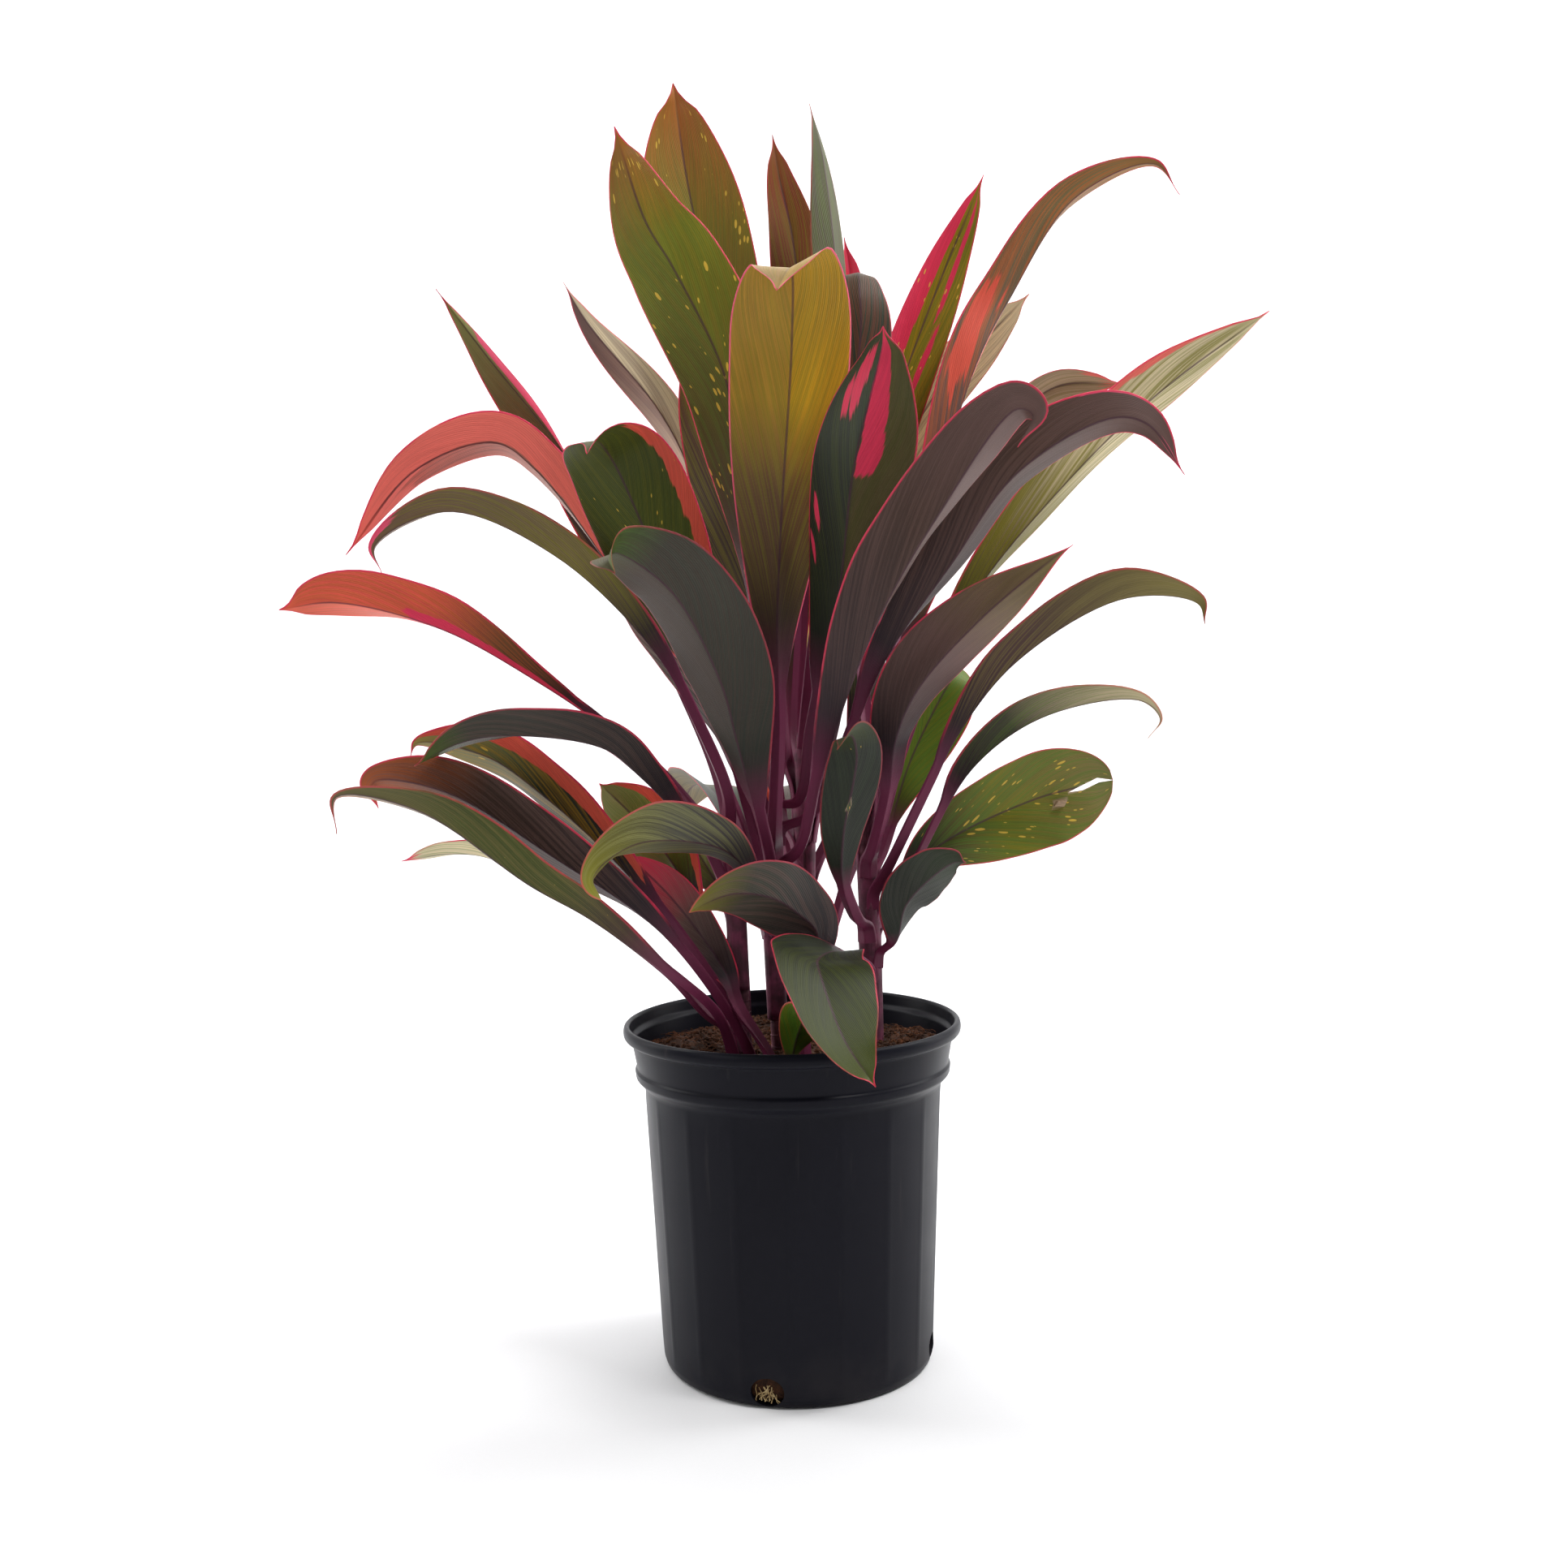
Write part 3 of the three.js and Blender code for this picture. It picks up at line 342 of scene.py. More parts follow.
RIGHT_LEAVES = [
    # Blade that folds over the rim of the pot. Its coat is darkened with painted shade from the leaves
    # above it
    Leaf("green", height=290, turn=-118, width=74, petiole=0.22, roll=-15, widest=0.5,
        midrib=[(35, -60, 325), (20, -95, 325), (20, -125, 320), (35, -160, 280), (55, -170, 250)],
        coat=Coat("ink", "ink", "moss", middle_at=0.35, end=1, stripe=("moss", 0.4), flecks=0.1, trim=0.8,
            dull=0)),
    # Small dark blade
    Leaf("dark", height=302, turn=-26, width=52, petiole=0.22, roll=-35,
        midrib=[(80, -10, 325), (90, -20, 355), (125, -25, 385), (135, -25, 385)],
        coat=Coat("ink", "ink", "pine", stripe=("slate", 0.3), trim=0.4)),
    # Broad green blade with a blunt torn end
    Leaf("green", height=316, turn=46, width=80, petiole=0.26, roll=70, widest=0.66, tail=0.6, drip=0,
        midrib=[(80, 20, 340), (95, 40, 365), (120, 50, 390), (200, 70, 425), (240, 75, 435),
            (270, 80, 440)],
        coat=Coat("pine", "olive", "khaki", middle_at=0.5, end=1, stripe=("leaf", 0.6), flecks=1,
            trim=0.8)),
    # Small folded blade
    Leaf("dark", height=322, turn=-112, width=42, petiole=0.34, roll=30, tail=0.8,
        midrib=[(50, -30, 345), (40, -50, 375), (40, -70, 410), (50, -95, 470), (45, -110, 485),
            (35, -120, 475)],
        coat=Coat("ink", "ink", "moss", middle_at=0.75, end=1, stripe=("pine", 0.4), flecks=0.2, trim=0.3)),
    # Narrow twisted blade with a long thin tip
    Leaf("dark", height=332, turn=10, width=40, petiole=0.34, roll=-60, twist=35, widest=0.42, tail=2,
        fold=45, wave=2,
        midrib=[(80, 10, 350), (100, 10, 385), (145, 20, 455), (205, 20, 495), (280, 20, 505),
            (295, 20, 490), (285, 20, 475)],
        coat=Coat("plum", "slate", "cream", middle_at=0.35, end=0.85, stripe=("leaf", 0.35), trim=0.4)),
    # Long arching blade with a wide end
    Leaf("dark", height=348, turn=-42, width=48, petiole=0.34, roll=-5, twist=25, widest=0.62, tail=0.9,
        fold=32, wave=1.8,
        midrib=[(75, -10, 375), (110, -35, 450), (125, -40, 480), (170, -50, 535), (250, -55, 580),
            (305, -55, 575), (310, -55, 560)],
        coat=Coat("plum", "umber", "olive", middle_at=0.45, end=0.85, stripe=("khaki", 0.6), flecks=0.1,
            minus=("mauve", 0.4), trim=0.5)),
    # Short round green blade
    Leaf("green", height=360, turn=56, width=58, petiole=0.3, roll=40, widest=0.66, tail=0.7, drip=0,
        midrib=[(75, 25, 390), (100, 50, 460), (135, 60, 525), (145, 75, 535)],
        coat=Coat("moss", "leaf", "leaf", middle_at=0.3, stripe=("olive", 0.4), trim=1)),
    # Brown blade that twists at its end
    Leaf("dark", height=372, turn=-76, width=64, petiole=0.3, roll=-5, twist=-35, widest=0.42, tail=1.6,
        fold=25, wave=2, drip=0,
        midrib=[(65, -20, 395), (75, -45, 440), (80, -60, 480), (95, -75, 515), (140, -95, 565),
            (190, -100, 605), (205, -100, 615)],
        coat=Coat("plum", "mauve", "khaki", middle_at=0.5, end=0.9, minus=("umber", 0.3),
            stripe=("mauve", 0.3), trim=0.9)),
    # Longest pale blade, straight out to the right
    Leaf("pale", height=388, turn=-20, width=52, petiole=0.3, roll=-40, tail=1.1, fold=22, wave=1.8,
        midrib=[(75, -10, 420), (90, -10, 470), (135, -20, 575), (215, -20, 670), (285, -20, 735),
            (370, -20, 795)],
        coat=Coat("moss", "khaki", "cream", middle_at=0.3, end=0.55, stripe=("olive", 0.75),
            streak="salmon", bands=[(-1.2, -0.8, 0.4, 1.1, 0.8)], trim=0.8)),
    # Pale brown blade behind the others
    Leaf("pale", height=402, turn=78, width=50, petiole=0.34, roll=45, widest=0.55, tail=0.9, fold=22,
        wave=1.5,
        midrib=[(70, 30, 435), (80, 50, 490), (125, 80, 635), (160, 85, 695), (195, 90, 740),
            (230, 90, 765), (285, 85, 765)],
        coat=Coat("umber", "tan", "tan", middle_at=0.35, stripe=("khaki", 0.55), streak="salmon",
            bands=[(-1.2, 1.2, 0.88, 1.2, 0.6)], trim=0.8)),
    # Tall thin arch on the right
    Leaf("pink", height=418, turn=30, width=54, petiole=0.32, roll=-80, twist=30, widest=0.5, tail=1.6,
        fold=32, wave=1.8,
        midrib=[(80, 20, 520), (115, 40, 650), (160, 60, 780), (190, 75, 835), (245, 80, 915),
            (310, 80, 940), (330, 80, 915)],
        coat=Coat("plum", "mauve", "khaki", middle_at=0.3, stripe=("rust", 0.5), streak="coral",
            bands=[(-0.9, -0.1, 0.3, 0.55, 0.6), (0.3, 1.2, 0.3, 0.7, 0.5)], trim=0.9)),
    # Pale upright blade
    Leaf("pale", height=432, turn=112, width=54, petiole=0.32, roll=-10, fold=18, wave=1.6,
        midrib=[(65, 50, 475), (65, 85, 540), (80, 115, 620), (100, 135, 700), (130, 150, 765),
            (175, 155, 815), (220, 160, 860)],
        coat=Coat("tan", "cream", "cream", middle_at=0.3, stripe=("mauve", 0.45), trim=0.5)),
]

BACK_LEAVES = [
    # Pale blade with turned edges
    Leaf("pale", height=384, turn=160, width=50, petiole=0.34, roll=85, twist=25, widest=0.5, tail=1.2,
        fold=38, wave=2.5,
        midrib=[(-5, 60, 415), (-20, 65, 475), (-35, 75, 550), (-75, 90, 705), (-100, 90, 755),
            (-155, 95, 825), (-175, 95, 860)],
        coat=Coat("umber", "tan", "mauve", middle_at=0.35, plus=("cream", 0.7), stripe=("mauve", 0.45),
            trim=0.7)),
    # Upright blade with pink stripes
    Leaf("pink", height=396, turn=22, width=52, petiole=0.34, roll=75, widest=0.5, fold=14, wave=1.4,
        midrib=[(30, 55, 445), (40, 70, 515), (75, 90, 675), (95, 100, 750), (140, 110, 865),
            (160, 110, 910), (175, 110, 945)],
        coat=Coat("moss", "olive", "olive", stripe=("ochre", 0.4), flecks=0.6,
            bands=[(0.3, 1.2, 0.3, 1.1, 0.95), (-0.6, -0.3, 0.4, 1.1, 0.7)], trim=1)),
    # Narrow red blade at the back
    Leaf("pink", height=414, turn=92, width=40, petiole=0.34, roll=5,
        midrib=[(15, 90, 445), (25, 115, 520), (40, 135, 610), (50, 145, 710), (60, 150, 800),
            (65, 155, 870), (60, 155, 910)],
        coat=Coat("umber", "rust", "rose", bands=[(-1.2, 1.2, 0.3, 1.1, 0.5)], trim=1)),
    # The tallest blade
    Leaf("golden", height=430, turn=156, width=84, petiole=0.34, roll=-65, widest=0.66, tail=0.9,
        midrib=[(0, 60, 460), (-5, 65, 540), (-15, 70, 635), (-30, 75, 725), (-45, 80, 805), (-70, 85, 935),
            (-80, 85, 1015)],
        coat=Coat("umber", "olive", "rust", middle_at=0.68, end=1.05, minus=("ember", 0.25),
            stripe=("leaf", 0.25), flecks=1, trim=0.9)),
    # Upright brown blade
    Leaf("golden", height=446, turn=88, width=48, petiole=0.34, roll=10,
        midrib=[(10, 80, 485), (15, 100, 570), (20, 110, 665), (25, 110, 760), (15, 120, 900),
            (5, 120, 950), (0, 120, 985)],
        coat=Coat("umber", "bronze", "ember", stripe=("olive", 0.5), flecks=0.8, trim=0.8)),
    # Upright olive blade seen edge on
    Leaf("golden", height=458, turn=24, width=48, petiole=0.34, roll=-60, tail=1.2,
        midrib=[(25, 60, 500), (30, 60, 580), (40, 65, 665), (45, 65, 750), (50, 70, 820), (40, 70, 945),
            (30, 70, 990)],
        coat=Coat("plum", "moss", "moss", dull=0, stripe=("umber", 0.5), trim=0.3)),
    # Dark blade that folds back at its top
    Leaf("dark", height=472, turn=-66, width=52, petiole=0.32, roll=-20, widest=0.7, tail=0.7,
        midrib=[(20, 35, 520), (30, 30, 590), (45, 20, 665), (65, 20, 795), (65, 25, 830), (65, 35, 845),
            (65, 50, 840)],
        coat=Coat("ink", "ink", "pine", stripe=("ember", 0.3), flecks=0.3, trim=0.5)),
    # Low blade that arches to the back
    Leaf("dark", height=262, turn=100, width=66, petiole=0.3, roll=0,
        midrib=[(8, 85, 300), (2, 145, 385), (-8, 215, 430), (-14, 275, 425), (-18, 325, 390)],
        coat=Coat("plum", "umber", "moss", stripe=("slate", 0.4), trim=0.7)),
    # Arching blade at the back right
    Leaf("green", height=280, turn=50, width=62, petiole=0.3, roll=10, fold=14, wave=1.4,
        midrib=[(34, 82, 315), (65, 135, 400), (98, 195, 455), (122, 250, 460), (140, 295, 430)],
        coat=Coat("plum", "moss", "olive", stripe=("leaf", 0.5), flecks=0.5, trim=0.8)),
    # Arching blade at the back left
    Leaf("dark", height=298, turn=140, width=60, petiole=0.3, roll=0,
        midrib=[(-14, 85, 335), (-42, 140, 400), (-68, 195, 435), (-88, 245, 435), (-104, 290, 405)],
        coat=Coat("plum", "pine", "khaki", stripe=("slate", 0.4), trim=0.6)),
    # High arch straight to the back
    Leaf("golden", height=316, turn=85, width=70, petiole=0.32, roll=0,
        midrib=[(16, 88, 360), (24, 145, 480), (35, 210, 565), (45, 270, 600), (52, 325, 590)],
        coat=Coat("plum", "olive", "ochre", stripe=("ochre", 0.5), flecks=0.8, trim=0.9)),
    # Arch between the left and the back
    Leaf("pink", height=334, turn=125, width=64, petiole=0.32, roll=0, fold=16, wave=1.5,
        midrib=[(-2, 88, 390), (-18, 140, 520), (-36, 195, 610), (-54, 245, 660), (-70, 290, 665)],
        coat=Coat("plum", "bronze", "coral", streak="coral", stripe=("rust", 0.3),
            bands=[(-1.2, -0.1, 0.3, 1.1, 0.85)], trim=1)),
    # Arch between the right and the back
    Leaf("green", height=352, turn=48, width=62, petiole=0.32, roll=10, fold=20, wave=1.5,
        midrib=[(40, 84, 410), (74, 130, 530), (102, 175, 620), (124, 220, 680), (142, 268, 700)],
        coat=Coat("plum", "leaf", "olive", stripe=("sage", 0.4), flecks=0.4, trim=0.8)),
    # Steep blade at the back
    Leaf("golden", height=368, turn=110, width=68, petiole=0.32, roll=0,
        midrib=[(8, 92, 430), (2, 132, 570), (-4, 172, 690), (-12, 218, 775), (-20, 264, 815)],
        coat=Coat("umber", "bronze", "ochre", stripe=("olive", 0.5), flecks=0.5, trim=0.9)),
]

SOIL_LEAVES = [
    # Lowest left blade, hooked at its tip
    Leaf("green", stand=(-46, -50), width=44, petiole=0.3, roll=30, widest=0.5, tail=2, fold=22, wave=1.5,
        midrib=[(-55, -65, 280), (-80, -85, 310), (-140, -110, 360), (-180, -120, 385), (-255, -130, 440),
            (-310, -135, 450), (-310, -135, 425)],
        coat=Coat("umber", "slate", "tan", middle_at=0.6, end=0.95, plus=("moss", 0.8),
            stripe=("khaki", 0.35), flecks=0.25, trim=0.5)),
    # Dark purple blade with a gold hooked tip
    Leaf("dark", stand=(-34, -32), width=52, petiole=0.32, roll=45, fold=14, wave=1.5,
        midrib=[(-50, -40, 280), (-95, -65, 345), (-165, -90, 400), (-240, -100, 450), (-290, -100, 460),
            (-295, -100, 455), (-290, -100, 440)],
        coat=Coat("plum", "umber", "rust", middle_at=0.65, end=0.98, stripe=("mauve", 0.5), flecks=0.1,
            trim=0.8)),
    # Short mauve blade
    Leaf("green", stand=(-18, -44), width=40, petiole=0.34, roll=-80,
        midrib=[(-40, -40, 280), (-50, -25, 305), (-90, -10, 360), (-125, -5, 395)],
        coat=Coat("plum", "mauve", "rose", trim=1)),
    # Low front blade that curls to the left
    Leaf("dark", stand=(8, -36), width=56, petiole=0.3, roll=20, widest=0.5, drip=0,
        midrib=[(10, -35, 280), (20, -45, 335), (5, -65, 355), (-15, -90, 370), (-40, -110, 375),
            (-60, -125, 370), (-70, -130, 365)],
        coat=Coat("plum", "slate", "olive", middle_at=0.7, end=1, stripe=("mauve", 0.4), trim=0.5)),
    # Small pale blade close to the soil
    Leaf("pale", stand=(-2, -66), width=36, petiole=0.22, roll=-35, widest=0.55,
        midrib=[(5, -80, 270), (10, -90, 280), (25, -110, 265)],
        coat=Coat("leaf", "leaf", "sage", stripe=("olive", 0.4))),
]

LEAVES_BY_CANE = {
    "left": LEFT_LEAVES, "middle": MIDDLE_LEAVES, "right": RIGHT_LEAVES, "back": BACK_LEAVES,
    "soil": SOIL_LEAVES}
for cane, leaves in LEAVES_BY_CANE.items():
    for rank, leaf in enumerate(leaves, 1):
        leaf.name = f"{cane}_leaf_{rank}"
LEAVES = [leaf for leaves in LEAVES_BY_CANE.values() for leaf in leaves]

# Torn places, as outlines of (along the blade, across it)
TEAR_REACH = 4
TORN_SHARP_FROM = 50
TORN_GAP = 0.05
DRY_RIM = "tan"
TEARS = {
    "right_leaf_3": [
        [(1.02, 0.3), (0.93, 0.2), (0.86, 0.02), (0.8, -0.06), (0.86, -0.1), (0.94, 0.02), (1.02, 0.06)],
        [(0.78, -0.2), (0.74, -0.16), (0.72, -0.24), (0.76, -0.3)]],
    "right_leaf_4": [[(0.5, 0.02), (0.46, 0.1), (0.42, 0.04), (0.45, -0.06)]],
    "right_leaf_6": [[(0.8, 1.1), (0.79, 0.72), (0.765, 0.78), (0.76, 1.1)]],
}


# Settings that a user would change

def colour_setting(name, description, default):
    return FloatVectorProperty(name=name, description=description, subtype="COLOR", default=default)


def length_setting(name, description, default):
    return FloatProperty(name=name, description=description, unit="LENGTH", default=default)


def angle_setting(name, description, degrees):
    default = math.radians(degrees)
    return FloatProperty(name=name, description=description, subtype="ANGLE", default=default)


class PotSettings(bpy.types.PropertyGroup):
    colour: colour_setting("Plastic", "Colour of the pot", shade(0x14141C))
    roughness: FloatProperty(
        name="Roughness", description="How matte the plastic is", default=0.3, min=0, max=1)
    sides: IntProperty(name="Sides", description="Steps round the pot", default=252, min=54)
    panels: IntProperty(name="Panels", description="Flat panels round the body", default=18)
    panel_depth: length_setting("Panel depth", "How far the panels sink in", 0.7 * MM)
    panel_turn: angle_setting("Panel turn", "Place of the first corner of the panels", 7)


class SoilSettings(bpy.types.PropertyGroup):
    # The dark colour also lies in the bump's hollows as painted shade
    dark: colour_setting("Dark peat", "Colour in the hollows", shade(0x1E120C))
    light: colour_setting("Light coir", "Colour of fibres and crumbs", shade(0x7A4A2C))
    crumb_density: FloatProperty(
        name="Crumb density", description="Crumbs to a square metre", default=42000, min=0)
    crumb_size: length_setting("Crumb size", "Radius of a crumb", 2.1 * MM)
    fibre_density: FloatProperty(
        name="Fibre density", description="Fibres to a square metre", default=30000, min=0)
    fibre_length: length_setting("Fibre length", "Length of a fibre", 11 * MM)


class LeafSettings(bpy.types.PropertyGroup):
    rows_per_station: IntProperty(
        name="Rows per station", description="Fineness along a leaf", default=6, min=1)
    vein_width: length_setting("Vein width", "Distance from vein to vein", 1.5 * MM)
    blade: length_setting("Blade", "Thickness of a blade", 0.55 * MM)
    margin: length_setting("Margin", "Width of the red edge", 1.1 * MM)
    fleck_colour: colour_setting("Fleck colour", "Colour of the flecks", shade(0xE6BE48))
    rib_colour: colour_setting("Midrib colour", "Colour of the midrib", shade(0x4A2A38))


class StageSettings(bpy.types.PropertyGroup):
    distance: length_setting("Distance", "Camera to the pot's axis", 1.18)
    eye_height: length_setting("Eye height", "Height of the camera", 0.5)
    side: length_setting("Side", "Camera's place along X", -0.0021)
    focal_length: FloatProperty(
        name="Focal length", description="Lens on a sensor 36 mm wide", default=35.03)
    pitch: angle_setting("Pitch", "How far the camera looks down", 2.6)
    roll: angle_setting("Roll", "Turn of the camera about its own line of sight", -1.25)
    floor_colour: colour_setting("Floor", "Colour of the floor and the backdrop", (0.8, 0.8, 0.81))


class PlantSettings(bpy.types.PropertyGroup):
    pot: PointerProperty(type=PotSettings)
    soil: PointerProperty(type=SoilSettings)
    leaf: PointerProperty(type=LeafSettings)
    stage: PointerProperty(type=StageSettings)


# Node trees

class Link:
    """An output in a node tree. Arithmetic on it adds Math nodes."""

    def __init__(self, tree, socket=None):
        self.tree = tree
        self.socket = socket

    def make(self, kind, settings=None, values=None, output=0):
        """Adds a node with its settings, then the values or links of its sockets."""
        node = self.tree.nodes.new(kind)
        for key, value in (settings or {}).items():
            if key == "stops":
                set_stops(node.color_ramp, value)
            else:
                setattr(node, key, value)
        for key, value in (values or {}).items():
            if isinstance(value, Link):
                self.tree.links.new(value.socket, node.inputs[key])
            else:
                node.inputs[key].default_value = value
        return Link(self.tree, node.outputs[output] if node.outputs else None)

    def math(self, operation, *values):
        return self.make("ShaderNodeMath", {"operation": operation}, dict(enumerate(values)))

    def __add__(self, other):
        return self.math("ADD", self, other)

    def __radd__(self, other):
        return self.math("ADD", other, self)

    def __sub__(self, other):
        return self.math("SUBTRACT", self, other)

    def __rsub__(self, other):
        return self.math("SUBTRACT", other, self)

    def __mul__(self, other):
        return self.math("MULTIPLY", self, other)

    def __abs__(self):
        return self.math("ABSOLUTE", self)

    def sine(self):
        return self.math("SINE", self)

    def steps(self, low, high, start=0.0, end=1.0):
        """Goes smoothly from start to end while this value goes from low to high."""
        limits = {0: self, 1: low, 2: high, 3: start, 4: end}
        return self.make("ShaderNodeMapRange", {"interpolation_type": "SMOOTHSTEP"}, limits)

    def part(self, axis):
        return self.make("ShaderNodeSeparateXYZ", None, {0: self}, axis)

    def vector(self, x, y, z):
        return self.make("ShaderNodeCombineXYZ", None, {0: x, 1: y, 2: z})

    def attribute(self, name, output):
        return self.make("ShaderNodeAttribute", {"attribute_name": name}, None, output)

    def noise(self, place, scale, detail=3.0, roughness=0.55):
        values = {"Vector": place, "Scale": scale, "Detail": detail, "Roughness": roughness}
        return self.make("ShaderNodeTexNoise", None, values)

    def mix(self, factor, first, second):
        """A colour between two colours."""
        values = {0: factor, 6: opaque(first), 7: opaque(second)}
        return self.make("ShaderNodeMix", {"data_type": "RGBA"}, values, 2)

    def dim(self, colour, factor):
        """A colour or a vector times a number."""
        values = {0: colour, "Scale": factor}
        return self.make("ShaderNodeVectorMath", {"operation": "SCALE"}, values)


def opaque(colour):
    """A plain colour gets the alpha that a colour socket asks for."""
    return colour if isinstance(colour, Link) else (*colour, 1.0)


def set_stops(ramp, stops):
    while len(ramp.elements) < len(stops):
        ramp.elements.new(1.0)
    for element, (place, colour) in zip(ramp.elements, stops):
        element.position = place
        element.color = (*colour, 1.0)


def new_material(name):
    """An empty material, and a link to begin its nodes with."""
    material = bpy.data.materials.new(name)
    material.use_nodes = True
    material.node_tree.nodes.clear()
    return material, Link(material.node_tree)


def finish_material(start, values, height, distance, strength):
    """Ends a material in a Principled shader whose surface is bumped by a height."""
    bump = {"Height": height, "Distance": distance, "Strength": strength}
    normal = start.make("ShaderNodeBump", None, bump)
    shader = start.make("ShaderNodeBsdfPrincipled", None, {**values, "Normal": normal})
    start.make("ShaderNodeOutputMaterial", None, {"Surface": shader})


def object_place(start):
    return start.make("ShaderNodeTexCoord", None, None, 3)


def long_streaks(start, place, scale):
    """Noise drawn out along Z."""
    return start.noise(start.make("ShaderNodeMapping", None, {0: place, 3: scale}), 1, 4)


def pot_material(settings):
    """Moulded plastic: satin, a little scuffed, with dust low down."""
    material, start = new_material("pot plastic")
    place = object_place(start)
    mottle = start.noise(place, 26, 5)
    grain = start.noise(place, 1500, 2)
    scuffed = long_streaks(start, place, (120, 120, 9)).steps(0.62, 0.78)
    low = place.part(2).steps(0, 60 * MM, 1, 0) * mottle.steps(0.35, 0.7)
    colour = start.mix(scuffed * 0.1 + low * 0.1, settings.colour, shade(0x57504C))
    roughness = settings.roughness + mottle * 0.14 + scuffed * 0.12
    values = {"Base Color": colour, "Roughness": roughness, "Specular IOR Level": 0.1}
    finish_material(start, values, grain * 0.5 + mottle * 0.8, 0.06 * MM, 0.6)
    return material


def soil_material(settings, name, lightness):
    """Peat and coir: dark in the hollows, partly dark peat and partly painted shade, reddish brown where
    the fibres are.
    """
    material, start = new_material(name)
    place = object_place(start)
    lumps = start.noise(place, 90, 6, 0.65)
    threads = start.noise(place, 900, 3)
    # The low parts of the bump get the dark colour: dark peat, and painted shade in the hollows
    share = lumps.steps(0.35, 0.75) * 0.6 + threads.steps(0.4, 0.8) * 0.4
    colour = start.mix(share * lightness, settings.dark, settings.light)
    values = {"Base Color": colour, "Roughness": 0.92, "Specular IOR Level": 0.2}
    finish_material(start, values, lumps + threads * 0.5, 1.5 * MM, 0.8)
    return material


def cane_material(name, dark, light, line):
    """Young cane or a petiole's sheath: two tones with long fine streaks."""
    material, start = new_material(name)
    place = object_place(start)
    cracks = long_streaks(start, place, (700, 700, 60))
    patches = start.noise(place, 60, 3)
    colour = start.mix(patches.steps(0.35, 0.7), dark, light)
    colour = start.mix(cracks.steps(0.5, 0.75) * 0.5, colour, line)
    values = {"Base Color": colour, "Roughness": 0.6 + cracks * 0.2}
    finish_material(start, values, cracks, 0.4 * MM, 0.7)
    return material


def root_material():
    """Pale dry roots."""
    material, start = new_material("root")
    patches = start.noise(object_place(start), 300, 3)
    colour = start.mix(patches.steps(0.3, 0.7), shade(0x8A6C40), shade(0xD0B888))
    finish_material(start, {"Base Color": colour, "Roughness": 0.8}, patches, 0.2 * MM, 0.5)
    return material


def leaf_material(name, settings):
    """A ti leaf: ground colours, streaks that follow the veins, flecks, midrib and red margin.

    The blade's own attributes carry the pattern: "lane" is across, along and half the width,
    "vein" numbers the veins and measures along them, and the colours are "ground", "streak",
    "stripe" and "trim", whose alpha says how much of each there is, or how many flecks. Where
    the blade is narrow the fine pattern fades.
    """
    material, start = new_material(name)
    lane = start.attribute("lane", 1)
    across = abs(lane.part(0))
    blade = lane.part(1)
    half = lane.part(2)
    vein = start.attribute("vein", 1)
    number = vein.part(0)
    run = vein.part(1)
    seed = vein.part(2)

    def along_veins(fineness, stretch, detail=3):
        return start.noise(start.vector(number * fineness, run * stretch, seed), 1, detail)

    ground = start.attribute("ground", 0)
    fleck_share = start.attribute("ground", 3)
    streak = start.attribute("streak", 0)
    streak_share = start.attribute("streak", 3)
    stripe = start.attribute("stripe", 0)
    stripe_share = start.attribute("stripe", 3)
    trim = start.attribute("trim", 0)
    trim_share = start.attribute("trim", 3)

    wide = half.steps(3 * MM, 12 * MM)
    tone = along_veins(0.1, 14)
    fine = (along_veins(1.3, 18) - 0.5) * wide + 0.5
    lines = (number * math.tau).sine() * wide
    striped = (along_veins(0.8, 5).steps(0.4, 0.6) - 0.5) * wide + 0.5
    colour = start.mix(striped * stripe_share, ground, stripe)
    colour = start.dim(colour, 0.5 + tone * 0.5 + fine * 0.5 + lines * 0.06)

    ragged = (along_veins(0.22, 7, 4) - 0.5) * 1.7 + 0.5
    streaked = (ragged + streak_share * 1.1 - 1).steps(0, 0.14)
    streak_tone = start.dim(streak, 0.62 + fine * 0.5 + tone * 0.26)
    colour = start.mix(streaked, colour, streak_tone)

    dots = {"Vector": start.vector(number * 0.45, run * 95, seed), "Scale": 1.0}
    spot = start.make("ShaderNodeTexVoronoi", None, dots)
    chance = start.make("ShaderNodeTexVoronoi", None, dots, 1).part(0)
    patch = along_veins(0.06, 24, 2).steps(0.36, 0.56)
    size = (fleck_share * patch * wide * 0.6 - chance) * 0.75
    flecked = (size - spot).steps(-0.02, 0.03) * (size * 50).steps(0, 1)
    colour = start.mix(flecked * 0.85, colour, settings.fleck_colour)

    edge = (1 - across) * half
    margin = edge.steps(settings.margin * 0.5, settings.margin * 1.3, 1, 0)
    margin = margin * along_veins(0.02, 30, 2).steps(0.3, 0.5, 0.3, 1) * trim_share
    margin = margin * blade.steps(0.02, 0.12)
    colour = start.mix(margin, colour, trim)

    rib = (across * half).steps(0.4 * MM, 1.3 * MM, 1, 0) * blade.steps(0.85, 1.0, 0.7, 0)
    colour = start.mix(rib * blade.steps(0.0, 0.1), colour, settings.rib_colour)

    values = {
        "Base Color": colour, "Roughness": 0.34 + tone * 0.16 + fine * 0.14,
        "Specular IOR Level": 0.26}
    finish_material(start, values, lines * 0.6 + fine * 1.2 + tone * 1.2, 0.12 * MM, 0.8)
    return material


# Meshes

def mesh_object(name, points, faces, material):
    """A smooth mesh from points in metres and the corners of its faces."""
    mesh = bpy.data.meshes.new(name)
    mesh.from_pydata(points, [], faces)
    mesh.shade_smooth()
    mesh.materials.append(material)
    piece = bpy.data.objects.new(name, mesh)
    bpy.context.scene.collection.objects.link(piece)
    return piece


